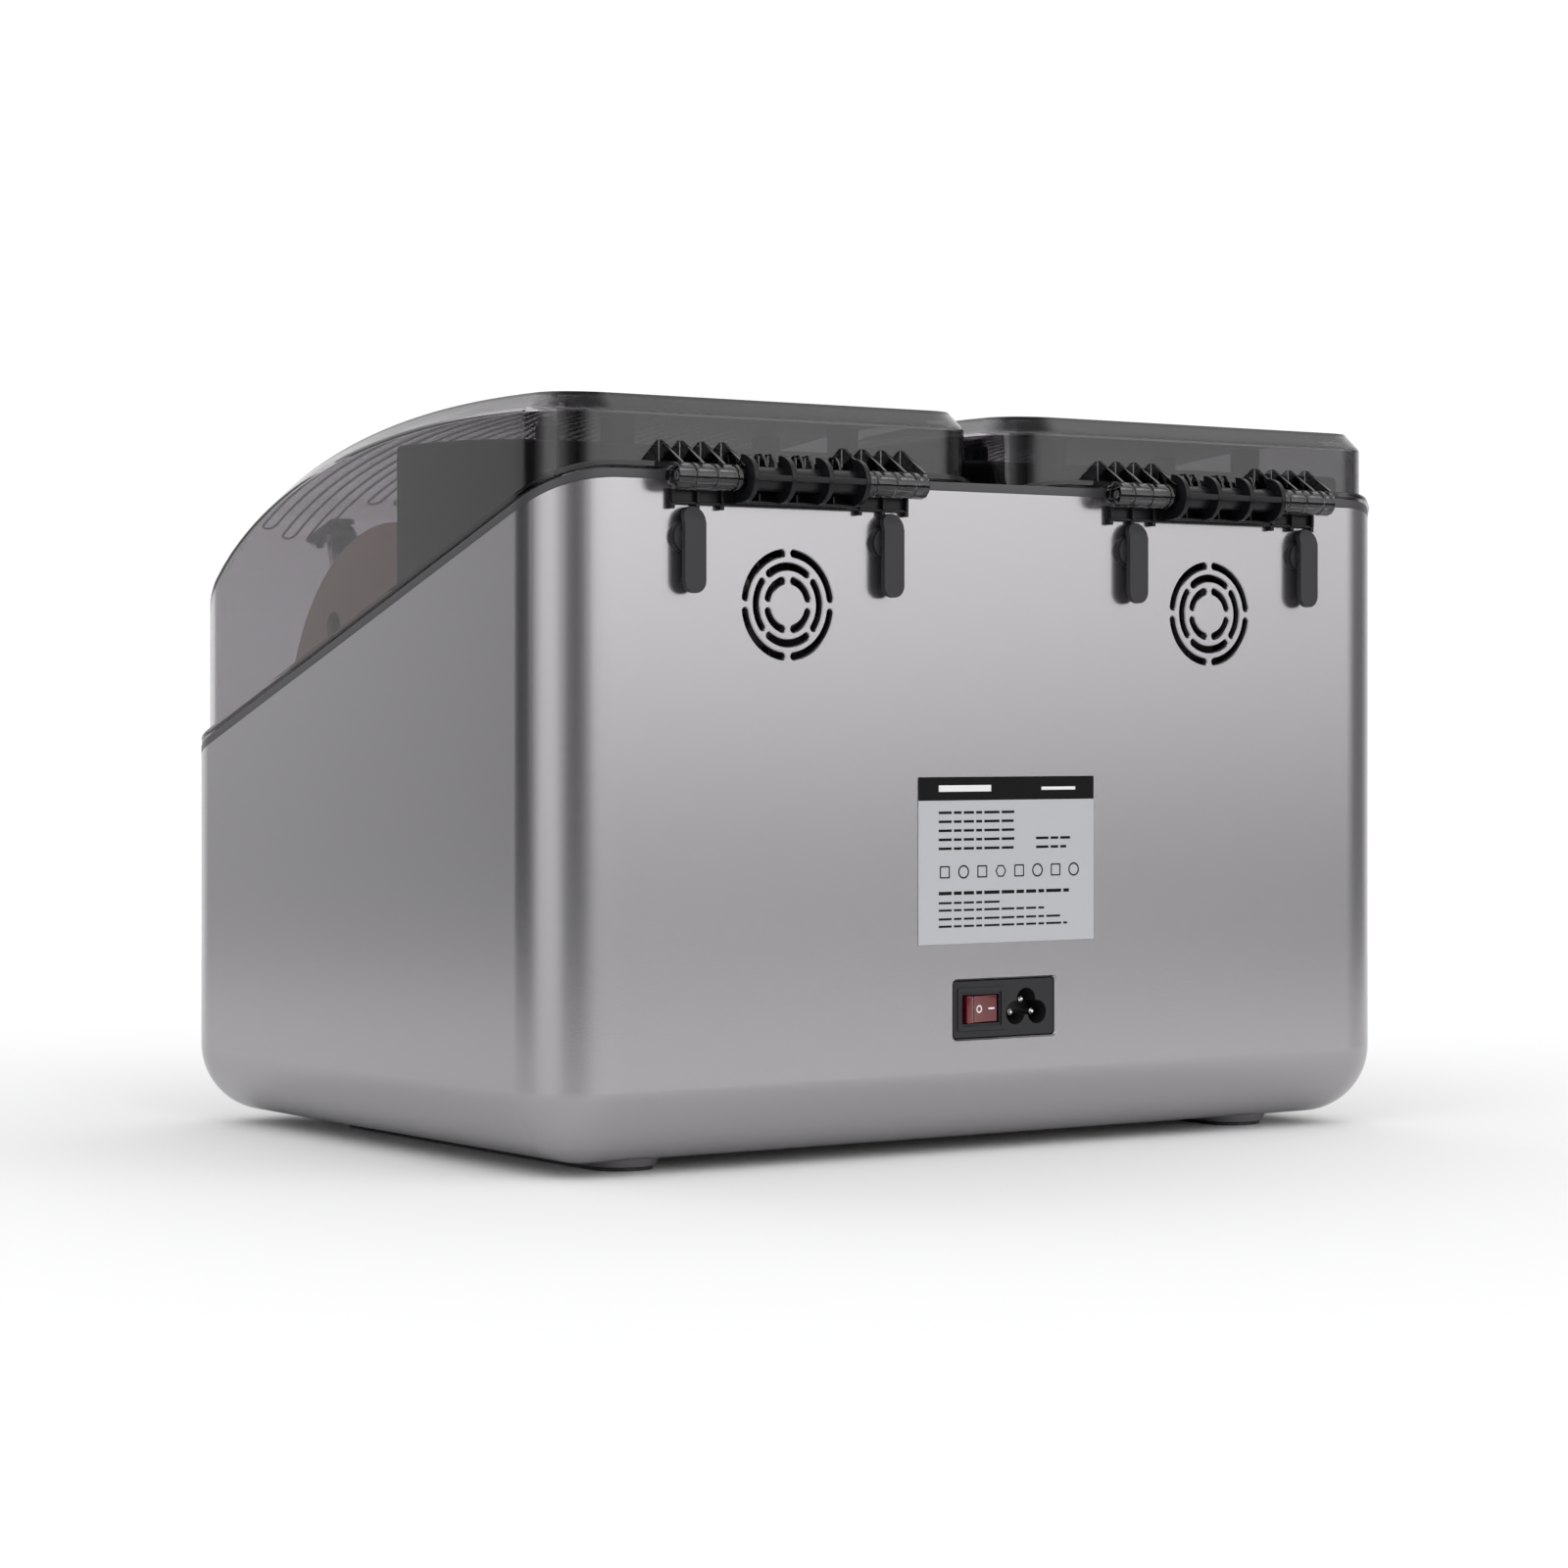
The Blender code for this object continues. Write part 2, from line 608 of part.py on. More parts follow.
def lid_shell(name, side):
    centre = side * sum(LID_X) / 2
    lid = canopy(name, centre, lid_rings(side), LID_WALL, SMOKED)
    x = side * UNIT_X
    knuckles, fins = [], []
    for s in (-1, 1):
        ends = sorted((x + s * KNUCKLE_X[0], x + s * KNUCKLE_X[1]))
        knuckles.append(rod("knuckle", KNUCKLE_R, (ends[0], AXIS_Y, AXIS_Z), (ends[1], AXIS_Y, AXIS_Z), sides=16))
        for offset in FIN_OFFSETS:
            fin = [
                (LID_Y[1] - 1, AXIS_Z + 13.3),
                (LID_Y[1] - 1, AXIS_Z + 3.7),
                (AXIS_Y - 3, AXIS_Z + 3.7),
                (AXIS_Y + 1, AXIS_Z + 5.3),
            ]
            at = x + s * offset
            fins.append(prism("fin", [fin], at - FIN_T / 2, at + FIN_T / 2, "X"))
    join(lid, merged(name + "_fins", fins), merged(name + "_knuckles", knuckles))
    bosses = [
        rod("boss", 3.4, (x + s * 58, y, 317.6), (x + s * 58, y, crown_z(y, *PLATEAU) - 1), sides=12)
        for s in (-1, 1)
        for y in (60, 120)
    ]
    outlets, bores = [], []
    for bay in BAY_X:
        outlets.append(rod("outlet", 7.5, *((side * bay, *front_port_axis(d)) for d in (-10, FRONT_PORT_RIM)), sides=16))
        bores.append(rod("bore", PORT_R, *((side * bay, *front_port_axis(d)) for d in (-14, 9)), sides=16))
    join(lid, merged(name + "_bosses", bosses + outlets))
    pin_bore = rod("pin_bore", PIN_R + 0.4, (x - 80, AXIS_Y, AXIS_Z), (x + 80, AXIS_Y, AXIS_Z), sides=12)
    notch = box("notch", (x - 32.2, LID_Y[1] + 0.2, 285), (x + 32.2, REAR_Y + 3, 302))
    return cut(lid, merged(name + "_holes", bores + [pin_bore]), merged(name + "_notch", [notch]))


def air_hood(name, side):
    """The black inner hood that hangs from the lid's four bosses and turns the hot air over the spools."""
    centre = side * UNIT_X
    plain = stations(100.5, 8.0, 150.0, 22.0, 4, 4, round_front=False)
    inset = stations(98.0, 8.0, 147.5, 19.5, 4, 4, round_front=False)
    rings = [
        [(h, y, rim_z(y) + FRAME_TOP + 1.5) for h, y in plain],
        [(h, y, hood_top_z(y) - 2.5) for h, y in plain],
        [(h, y, hood_top_z(y)) for h, y in inset],
    ]
    hood = canopy(name, centre, rings, TUB_WALL, BLACK, front_closed=False)
    posts = [
        rod("post", 6.3, (centre + s * 58, y, hood_top_z(y) - 1), (centre + s * 58, y, 317.3), sides=14)
        for s in (-1, 1)
        for y in (60, 120)
    ]
    return join(hood, merged(name + "_posts", posts))


# ---------------------------------------------------------------- plugs


def plug(name, x, y, z, facing):
    """A silicone stopper with a finger paddle. Its own +Z is the way it pulls out, and its own +Y is up the paddle."""
    width, length, thick = PADDLE
    top = 12.5
    outline = []
    for cy, start in ((top - width / 2, 0), (top - length + width / 2, 180)):
        outline += arc(0, cy, width / 2, start, start + 180, 4)
    paddle = prism(name, [outline], 7.1, 7.1 + thick, "Z", RUBBER)
    bm = bmesh.new()
    bm.from_mesh(paddle.data)
    crease = 5.6
    geometry = bm.verts[:] + bm.edges[:] + bm.faces[:]
    bmesh.ops.bisect_plane(bm, geom=geometry, plane_co=(0, crease * MM, 0), plane_no=(0, 1, 0))
    for v in bm.verts:
        v.co.z -= max(v.co.y - crease * MM, 0) * math.tan(math.radians(24))
    bm.to_mesh(paddle.data)
    bm.free()
    stem = [
        rod("neck", 3.6, (0, 0, -2), (0, 0, 8.2), sides=8),
        rod("nub", 1.8, (0, top - length + 5, 2.4), (0, top - length + 5, 8.2), sides=8),
    ]
    paddle.data.transform(paddle.matrix_world)
    join(paddle, merged(name + "_stem", stem))
    disc = rod(name + "_disc", 6.9, (0, 0, GAP), (0, 0, 1.8), sides=12)
    stopper = rod(name + "_stopper", PLUG_R, (0, 0, -7), (0, 0, 1), sides=12)
    join(paddle, disc, stopper)
    place = Matrix.Translation(Vector((x, y, z)) * MM) @ facing
    for obj in [paddle] + [m.object for m in paddle.modifiers]:
        bpy.context.view_layer.update()
        obj.matrix_world = place @ (Matrix.Identity(4) if obj is paddle else obj.matrix_world)
    return smooth(paddle)


# ---------------------------------------------------------------- spool and rollers


def roller(name, x, y):
    profile = [
        (0, -AXLE_HALF),
        (AXLE_R, -AXLE_HALF),
        (AXLE_R, -ROLLER_HALF),
        (ROLLER_R, -ROLLER_HALF),
        (ROLLER_R, ROLLER_HALF),
        (AXLE_R, ROLLER_HALF),
        (AXLE_R, AXLE_HALF),
        (0, AXLE_HALF),
    ]
    made = turned(name, profile, RUBBER, 12)
    made.location = (x * MM, y * MM, ROLLER_Z * MM)
    return made


def spool():
    """A cardboard spool: a thick core tube, a flange ring at each end of it, and the filament wound between them."""
    half = SPOOL_WIDTH / 2
    inner = half - FLANGE_CARD
    for name, low_r, high_r, low, high, finish, sides in (
        ("spool_core", HUB_R, CORE_R, -half, half, CARD, 40),
        ("spool_flange_left", CORE_R + GAP, SPOOL_R, -half, -inner, CARD, 40),
        ("spool_flange_right", CORE_R + GAP, SPOOL_R, inner, half, CARD, 40),
        ("filament_winding", CORE_R + GAP, WINDING_R, GAP - inner, inner - GAP, FILAMENT, 32),
    ):
        ring = turned(name, [(low_r, low), (high_r, low), (high_r, high), (low_r, high)], finish, sides)
        ring.location = (BAY_X[1] * MM, SPOOL_Y * MM, SPOOL_Z * MM)


# ---------------------------------------------------------------- fans, heaters and electrics


def fan_frame(name, side):
    x = side * UNIT_X
    square = rounded_rect(x - FAN_HALF, x + FAN_HALF, FAN_Z - FAN_HALF, FAN_Z + FAN_HALF, 4, 2)
    frame = smooth(prism(name, [square, circle(x, FAN_Z, 28.0, 24)], *FAN_Y, "Y", BLACK))
    y0 = FAN_Y[0]
    bars = [
        box(name + "_bar_x", (x - 28.5, y0, FAN_Z - 2), (x + 28.5, y0 + 1.8, FAN_Z + 2)),
        box(name + "_bar_z", (x - 2, y0 + 0.1, FAN_Z - 28.5), (x + 2, y0 + 1.7, FAN_Z + 28.5)),
        rod(name + "_hub", 11.0, (x, y0 + 0.05, FAN_Z), (x, y0 + 2.2, FAN_Z), sides=16),
    ]
    return join(frame, *bars)


def fan_rotor(name, side):
    x = side * UNIT_X
    hub = rod(name, 11.0, (x, FAN_Y[0] + 2.6, FAN_Z), (x, FAN_Y[1] - 1, FAN_Z), BLACK, sides=20)
    bpy.context.view_layer.update()
    blades = []
    for k in range(7):
        blade = box("blade", (8, -0.7, -5.5), (26.5, 0.7, 5.5))
        blade.matrix_world = (
            Matrix.Translation(Vector((x, sum(FAN_Y) / 2 + 0.8, FAN_Z)) * MM)
            @ Matrix.Rotation(math.tau * k / 7, 4, "Y")
            @ Matrix.Translation(Vector((17.25, 0, 0)) * MM)
            @ Matrix.Rotation(math.radians(35), 4, "X")
        )
        blades.append(blade)
    return join(hub, merged(name + "_blades", blades))


def heater_core(name, side):
    x = side * UNIT_X
    core = box(name, (x - 33, 108, 206), (x + 33, 132, 260), ALLOY)
    slots = [box("slot", (x - 28 + 10 * k, 100, 210), (x - 22 + 10 * k, 140, 256)) for k in range(6)]
    return cut(core, merged(name + "_slots", slots))


def inlet_module():
    w, h = INLET_HALF
    plate = rounded_rect(INLET_X - w, INLET_X + w, INLET_Z - h, INLET_Z + h, 1.4, 3)
    module = prism("inlet_module", [plate], 160.0, 162.2, "Y", BLACK)
    body = box("inlet_body", (INLET_X - w + 2, 138, INLET_Z - h + 2), (INLET_X + w - 2, 161, INLET_Z + h - 2))
    join(module, body)
    bezel = rounded_rect(ROCKER_X - 13, ROCKER_X + 13, INLET_Z - 9.5, INLET_Z + 9.5, 1, 2)
    well = box("well", (ROCKER_X - 10.1, 148, INLET_Z - 6.3), (ROCKER_X + 10.1, 166, INLET_Z + 6.3))
    join(module, prism("rocker_bezel", [bezel], 161.5, 162.7, "Y"))
    cut(module, well)
    for k, (x, z) in enumerate(SOCKET_LOBES):
        cut(module, rod(f"lobe_{k}", LOBE_R, (x, 147.0, z), (x, 166, z), sides=16))
    return module


def rocker_switch():
    """The rocker: two shallow faces over a pivot, at rest with its +X end out."""
    half = 9.6
    outline = [(-8.2, -5.5), (8.2, -5.5), (half, 1.3), (0.0, 0.3), (-half, 1.3)]
    rocker = prism("rocker_switch", [outline], -5.9, 5.9, "Z", RED)
    tilt = Matrix.Rotation(math.radians(9), 4, "Z")
    rocker.matrix_world = Matrix.Translation(Vector((ROCKER_X, 161.8, INLET_Z)) * MM) @ tilt
    return rocker


def electrics():
    inlet_module()
    rocker_switch()
    for k, (x, z) in enumerate(SOCKET_LOBES):
        rod(f"inlet_pin_{k + 1}", 1.2, (x, 147.0 + GAP, z), (x, 158.5, z), STEEL, sides=12)
    supply = box("power_supply", (-58, 60, 12), (58, 124, 50), ALLOY, bevel=1.0)
    board = box("main_board", (-152, -60, 14), (-68, 60, 15.6), BOARD)
    chips = [
        box("chip", (-140, -48, 15), (-120, -24, 27)),
        box("relay", (-110, -40, 15), (-92, -10, 31)),
        box("socket", (-144, 20, 15), (-80, 30, 25)),
    ]
    join(board, merged("board_parts", chips))
    w, h = DISPLAY_HALF
    pane = rounded_rect(-w, w, DISPLAY_Z - h, DISPLAY_Z + h, 5.7, 4)
    prism("display_window", [pane], FRONT_Y + 0.6, FRONT_Y + 2.8, "Y", GLASS)
    box("rating_label", (-48.5, REAR_Y + GAP, 92.8), (48.5, REAR_Y + 0.7, 165.3), LABEL)
    return supply


def base_cover():
    outline = rounded_rect(-120, 120, -90, 90, 6, 3)
    cover = prism("base_cover", [outline], BASE_Z, BASE_Z + WALL, "Z", BLACK)
    vents = [box("vent", (-40, y - 1.8, BASE_Z - 4), (40, y + 1.8, BASE_Z + 8)) for y in range(-60, -19, 10)]
    seats = [
        rod("seat", 3.6, (sx * 108, sy * 78, BASE_Z - 3), (sx * 108, sy * 78, BASE_Z + 9), sides=12)
        for sx in (-1, 1)
        for sy in (-1, 1)
    ]
    cut(cover, merged("cover_holes", vents + seats))
    for k, (sx, sy) in enumerate(((-1, -1), (1, -1), (-1, 1), (1, 1))):
        at = (sx * 108, sy * 78)
        rod(f"cover_screw_{k + 1}", 3.3, (*at, BASE_Z + 0.2), (*at, BASE_Z + WALL + 4), STEEL, sides=12)
    return cover


def foot_pad(name, sign):
    x = sign * PLINTH_X
    half = PLINTH_HALF - 1.0
    outline = rounded_rect(x - half, x + half, PLINTH_Y[0] + 1, PLINTH_Y[1] - 1, half - 0.5, 4)
    return prism(name, [outline], 0, FOOT_PAD - GAP, "Z", RUBBER)


def lid_grip(name, side):
    x = side * UNIT_X
    return box(name, (x - 32, FRONT_Y + 0.2, 192), (x + 32, LID_Y[0] - GAP, 203), BLACK, bevel=1.0)


# ---------------------------------------------------------------- assembly

body_shell()
rim_frame()
base_cover()
electrics()
spool()
for word, sign in (("left", -1), ("right", 1)):
    lid_seal(f"lid_seal_{word}", sign)
    chamber_tub(f"chamber_tub_{word}", sign)
    hinge_bracket(f"hinge_bracket_{word}", sign)
    hinge_sleeve(f"hinge_sleeve_{word}", sign)
    hx = sign * UNIT_X
    rod(f"hinge_pin_{word}", PIN_R, (hx - 68, AXIS_Y, AXIS_Z), (hx + 68, AXIS_Y, AXIS_Z), STEEL, sides=12)
    lid_shell(f"lid_shell_{word}", sign)
    lid_grip(f"lid_grip_{word}", sign)
    air_hood(f"air_hood_{word}", sign)
    fan_frame(f"fan_frame_{word}", sign)
    fan_rotor(f"fan_rotor_{word}", sign)
    heater_core(f"heater_core_{word}", sign)
    foot_pad(f"foot_pad_{word}", sign)

rearward = Matrix.Rotation(math.pi, 4, "Z") @ Matrix.Rotation(math.radians(90), 4, "X")
forward = Matrix.Rotation(math.radians(FRONT_PORT_TILT), 4, "X")
bays = [-BAY_X[1], -BAY_X[0], BAY_X[0], BAY_X[1]]
for number, bay_x in enumerate(bays, 1):
    roller(f"roller_{number}_front", bay_x, SPOOL_Y - ROLLER_SPREAD)
    roller(f"roller_{number}_rear", bay_x, SPOOL_Y + ROLLER_SPREAD)
    plug(f"rear_plug_{number}", bay_x, REAR_Y, REAR_PORT_Z, rearward)
    seat_y, seat_z = front_port_axis(FRONT_PORT_RIM)
    plug(f"front_plug_{number}", bay_x, seat_y, seat_z, forward)
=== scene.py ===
"""The looks of a four-spool filament dryer box: the meshes and materials round its CAD frame, and its studio.

Lengths are in millimetres and MM turns them into metres. +Z is up, the front faces -Y and the camera stands
behind the box, off its +X rear corner. A shape made without a finish is a cutter, or is joined to another.
"""

import math

import bmesh
import bpy
from mathutils import Matrix, Vector


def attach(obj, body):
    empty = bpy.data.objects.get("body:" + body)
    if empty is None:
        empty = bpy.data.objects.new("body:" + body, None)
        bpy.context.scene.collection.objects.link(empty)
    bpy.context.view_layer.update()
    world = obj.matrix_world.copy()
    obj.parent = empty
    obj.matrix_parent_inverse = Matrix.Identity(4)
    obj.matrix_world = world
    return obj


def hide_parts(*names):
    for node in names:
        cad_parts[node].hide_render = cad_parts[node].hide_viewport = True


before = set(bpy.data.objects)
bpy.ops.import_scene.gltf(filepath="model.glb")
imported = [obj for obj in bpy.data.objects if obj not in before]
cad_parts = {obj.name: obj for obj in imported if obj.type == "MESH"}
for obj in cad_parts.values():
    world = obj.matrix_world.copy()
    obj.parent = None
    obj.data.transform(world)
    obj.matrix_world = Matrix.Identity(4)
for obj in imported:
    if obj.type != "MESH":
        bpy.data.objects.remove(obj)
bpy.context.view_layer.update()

MM = 0.001

# Housing
HALF_WIDTH = 232.0
FRONT_Y, REAR_Y = -182.0, 163.0
BASE_Z = 5.4
CORNER_R = 32.0
WALL = 2.6
PLINTH_X, PLINTH_HALF, PLINTH_Y = 170.0, 15.0, (-111.0, 130.0)
PLINTH_Z = (1.8, 8.0)

# Rim and lids
RIM_FRONT_Z, RIM_SLOPE, RIM_LIFT, RIM_BLEND_Y = 167.7, 0.344, 3.0, 130.0
FRAME_TOP = 4.0
FLANGE_BOTTOM = 4.9
LID_WALL = 2.3
FLANGE_TOP = FLANGE_BOTTOM + LID_WALL * 1.06
FLANGE_WIDTH = 4.0
UNIT_X = 116.5
LID_X, LID_Y, LID_R = (6.5, 228.0), (-178.0, 159.0), 28.0
CHAMFER = 7.0
# Above the nose the lids rise to their crown as a superellipse: the (reach, rise) of the chamfer's two edges
CROWN_Y, CROWN_POWER, NOSE_Z = 118.7, 2.2, 205.4
SHOULDER, PLATEAU = (294.0, 112.6), (297.0, 120.1)

# Air hoods under the lids
HOOD_HALF, HOOD_Y, HOOD_R = 100.5, (8.0, 150.0), 22.0
HOOD_TOP_Z, HOOD_FALL = 310.8, 0.00032

# Hinge
AXIS_Y, AXIS_Z = 172.0, 290.4
SLEEVE_R, RIB_R, KNUCKLE_R = 5.2, 10.0, 5.8

# Rear panel fittings
FAN_Z = 238.5
GRILLE_RINGS = ((21.9, 7.6, 45.0), (16.2, 9.0, 0.0), (10.5, 15.8, 45.0))
GRILLE_SLOT = 3.0
BAYS = (-169.3, -67.7, 67.7, 169.3)
REAR_PORT_Z = 265.8
INLET_X, INLET_Z, INLET_HALF = 1.0, 63.9, (28.0, 12.6)
ROCKER_X = 13.6
LOBES = ((-5.4, 61.5), (-17.3, 61.5), (-11.35, 67.1))
LABEL_HALF, LABEL_Z = 48.5, (92.8, 165.3)

# Filament outlets through the fronts of the lids
PORT_Y, PORT_Z, PORT_TILT = -132.0, 276.0, 18.0
PORT_RIM = 3.2

# Spool
SPOOL = (169.3, -24.5, 178.8)
SPOOL_R, HUB_R, END_HOLE_R = 100, 26.5, 6.5
CORE_R, CORE_BORE_R, CORE_HALF = 42, 38, 30
FLANGE_CARD = 3


# ---------------------------------------------------------------- materials


def principled(name, colour, roughness, **sockets):
    made = bpy.data.materials.new(name)
    made.use_nodes = True
    shader = made.node_tree.nodes["Principled BSDF"]
    shader.inputs["Base Color"].default_value = (*colour, 1.0)
    shader.inputs["Roughness"].default_value = roughness
    for socket, value in sockets.items():
        shader.inputs[socket.replace("_", " ")].default_value = value
    return made


def grain(made, scale, strength, distance=0.0002):
    """Fine noise in the surface, as paint and moulded plastic have."""
    tree = made.node_tree
    noise = tree.nodes.new("ShaderNodeTexNoise")
    noise.inputs["Scale"].default_value = scale
    noise.inputs["Detail"].default_value = 2.0
    place = tree.nodes.new("ShaderNodeTexCoord")
    bump = tree.nodes.new("ShaderNodeBump")
    bump.inputs["Strength"].default_value = strength
    bump.inputs["Distance"].default_value = distance
    tree.links.new(place.outputs["Object"], noise.inputs["Vector"])
    tree.links.new(noise.outputs["Fac"], bump.inputs["Height"])
    tree.links.new(bump.outputs["Normal"], tree.nodes["Principled BSDF"].inputs["Normal"])
    return made


PAINT = grain(principled("grey_metallic_paint", (0.36, 0.35, 0.365), 0.22, Metallic=0.9), 1800, 0.1)
GLASSY = {"Transmission_Weight": 1.0, "IOR": 1.5}
SMOKED = principled("smoked_glassy_plastic", (0.445, 0.425, 0.45), 0.02, **GLASSY)
# The lid's rear wall is painted shade: a darker copy of the same smoked plastic as the rest of the lid
SMOKED_PAINTED_SHADE = principled("smoked_rear_wall_painted_shade", (0.13, 0.127, 0.132), 0.02, **GLASSY)
CLEAR = principled("clear_hinge_plastic", (0.13, 0.127, 0.135), 0.02, **GLASSY)
SATIN = principled("satin_black_plastic", (0.008, 0.0075, 0.009), 0.3, Specular_IOR_Level=0.22)
MATTE = principled("matte_black_plastic", (0.028, 0.027, 0.03), 0.6, Specular_IOR_Level=0.25)
DARK_FRAME = principled("rim_black_plastic", (0.05, 0.048, 0.053), 0.38)
SILICONE = principled("black_silicone", (0.03, 0.029, 0.033), 0.5, Specular_IOR_Level=0.3)
STEEL = principled("bright_steel", (0.75, 0.75, 0.75), 0.2, Metallic=1.0)
ALLOY = principled("plain_aluminium", (0.6, 0.6, 0.6), 0.45, Metallic=1.0)
CARD = grain(principled("brown_card", (0.72, 0.53, 0.43), 0.85), 500, 0.2)
FILAMENT = principled("black_filament", (0.03, 0.03, 0.03), 0.35)
BOARD = principled("green_circuit_board", (0.02, 0.12, 0.06), 0.5)
DISPLAY = principled("black_display_glass", (0.008, 0.008, 0.01), 0.05)
FOIL = principled("silver_label_foil", (0.44, 0.45, 0.47), 0.34, Metallic=0.55)
INK = principled("black_label_ink", (0.006, 0.006, 0.006), 0.5, Specular_IOR_Level=0.08)
HEADER_MARK = principled("white_label_ink", (0.75, 0.75, 0.75), 0.5)
RED = principled("red_rocker_plastic", (0.11, 0.001, 0.003), 0.12, Coat_Weight=0.6)
WHITE_MARK = principled("white_rocker_mark", (0.85, 0.83, 0.83), 0.5)
INLET_BLACK = principled("inlet_black_plastic", (0.014, 0.014, 0.016), 0.45, Specular_IOR_Level=0.3)
SOCKET_BLACK = principled("socket_black_plastic", (0.006, 0.006, 0.006), 0.5)
for moulded, strength in ((SATIN, 0.1), (MATTE, 0.1), (INLET_BLACK, 0.15)):
    grain(moulded, 900, strength)


# ---------------------------------------------------------------- shape helpers


def add_object(name, mesh, finish=None):
    obj = bpy.data.objects.new(name, mesh)
    bpy.context.scene.collection.objects.link(obj)
    if finish:
        mesh.materials.clear()
        mesh.materials.append(finish)
    return obj


def from_bmesh(name, bm, finish=None):
    mesh = bpy.data.meshes.new(name)
    bm.normal_update()
    bm.to_mesh(mesh)
    bm.free()
    return add_object(name, mesh, finish)


def box(name, low, high, finish=None):
    bm = bmesh.new()
    bmesh.ops.create_cube(bm, size=1)
    for v in bm.verts:
        v.co = Vector([(a if c < 0 else b) * MM for c, a, b in zip(v.co, low, high)])
    return from_bmesh(name, bm, finish)


def rod(name, radius, start, end, finish=None, sides=40, far_radius=None):
    axis = Vector(end) - Vector(start)
    far = radius if far_radius is None else far_radius
    bm = bmesh.new()
    bmesh.ops.create_cone(
        bm, cap_ends=True, segments=sides, radius1=radius * MM, radius2=far * MM, depth=axis.length * MM
    )
    middle = Matrix.Translation((Vector(start) + Vector(end)) / 2 * MM)
    bm.transform(middle @ axis.to_track_quat("Z", "Y").to_matrix().to_4x4())
    return from_bmesh(name, bm, finish)


# How an outline's two axes and its extrusion lie: (y, z) along X, (x, z) along Y, or (x, y) along Z
LIE = {"X": (1, 2, 0), "Y": (0, 2, 1), "Z": (0, 1, 2)}


def stack(name, levels, along, finish=None):
    """A closed solid through outlines of one point count, each at its level along an axis."""
    bm = bmesh.new()
    u_at, v_at, w_at = LIE[along]
    rings = []
    for level, loop in levels:
        ring = []
        for u, v in loop:
            point = [0.0, 0.0, 0.0]
            point[u_at], point[v_at], point[w_at] = u * MM, v * MM, level * MM
            ring.append(bm.verts.new(point))
        rings.append(ring)
    for low, high in zip(rings, rings[1:]):
        for i in range(len(low)):
            j = (i + 1) % len(low)
            bm.faces.new((low[i], low[j], high[j], high[i]))
    bm.faces.new(list(reversed(rings[0])))
    bm.faces.new(rings[-1])
    bmesh.ops.recalc_face_normals(bm, faces=bm.faces)
    return from_bmesh(name, bm, finish)


def prism(name, loop, low, high, along="Z", finish=None):
    return stack(name, ((low, loop), (high, loop)), along, finish)


def arc(cx, cy, radius, start, end, steps):
    angles = [math.radians(start + (end - start) * i / steps) for i in range(steps + 1)]
    return [(cx + radius * math.cos(a), cy + radius * math.sin(a)) for a in angles]


def circle(cx, cy, radius, sides=48):
    return arc(cx, cy, radius, 0, 360, sides)[:-1]


def rounded_rect(x0, x1, y0, y1, radius, steps=10):
    corners = (
        (x1 - radius, y1 - radius, 0),
        (x0 + radius, y1 - radius, 90),
        (x0 + radius, y0 + radius, 180),
        (x1 - radius, y0 + radius, 270),
    )
    return [p for cx, cy, a in corners for p in arc(cx, cy, radius, a, a + 90, steps)]


def grown_rect(cx, cy, half_u, half_v, radius, grow, steps=6):
    """A rounded rectangle about a centre, every side of it moved out by grow."""
    u, v = half_u + grow, half_v + grow
    return rounded_rect(cx - u, cx + u, cy - v, cy + v, radius + grow, steps)


def gather(name, pieces, finish=None):
    """One object from several."""
    bm = bmesh.new()
    for piece in pieces:
        bm.from_mesh(piece.data)
        bpy.data.objects.remove(piece)
    return from_bmesh(name, bm, finish)


def boolean(obj, other, operation):
    """Cuts, joins or trims obj with other, at once, and drops other."""
    modifier = obj.modifiers.new("boolean", "BOOLEAN")
    modifier.operation = operation
    modifier.object = other
    modifier.solver = "EXACT"
    freeze(obj)
    bpy.data.objects.remove(other)
    return obj


def freeze(obj):
    evaluated = obj.evaluated_get(bpy.context.evaluated_depsgraph_get())
    mesh = bpy.data.meshes.new_from_object(evaluated)
    obj.modifiers.clear()
    obj.data = mesh
    return obj


def cut(obj, other):
    return boolean(obj, other, "DIFFERENCE")


def soften(obj, width=0.0, segments=3, angle=32.0):
    """Smooth shading with flat faces kept flat, and small rounds on the sharp edges."""
    obj.data.shade_smooth()
    if width:
        bevel = obj.modifiers.new("rounds", "BEVEL")
        bevel.width = width * MM
        bevel.segments = segments
        bevel.limit_method = "ANGLE"
        bevel.angle_limit = math.radians(angle)
        bevel.harden_normals = False
    else:
        obj.data.set_sharp_from_angle(angle=math.radians(angle))
    normals = obj.modifiers.new("normals", "WEIGHTED_NORMAL")
    normals.keep_sharp = True
    normals.weight = 80
    return obj


def dress(obj, body, slot_name, *nodes):
    """obj moves with a CAD body and stands for the CAD nodes named. slot_name is not used."""
    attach(obj, body)
    if nodes:
        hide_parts(*nodes)
    return obj


# ---------------------------------------------------------------- curves of the rim and lids


def rim_z(y):
    t = min(max((y - RIM_BLEND_Y) / (REAR_Y - RIM_BLEND_Y), 0.0), 1.0)
    return RIM_FRONT_Z + RIM_SLOPE * (y - FRONT_Y) + RIM_LIFT * t * t * (3 - 2 * t)


def crown_z(y, reach, rise):
    u = min(abs(CROWN_Y - y) / reach, 1.0)
    return NOSE_Z + rise * (1 - u**CROWN_POWER) ** (1 / CROWN_POWER)


def hood_top_z(y):
    return HOOD_TOP_Z - HOOD_FALL * max(y - HOOD_Y[0], 0.0) ** 2


RIM_BLEND = [RIM_BLEND_Y + i * (REAR_Y - RIM_BLEND_Y) / 12 for i in range(13)]
RIM_STATIONS = [FRONT_Y - 6, *RIM_BLEND, REAR_Y + 6]


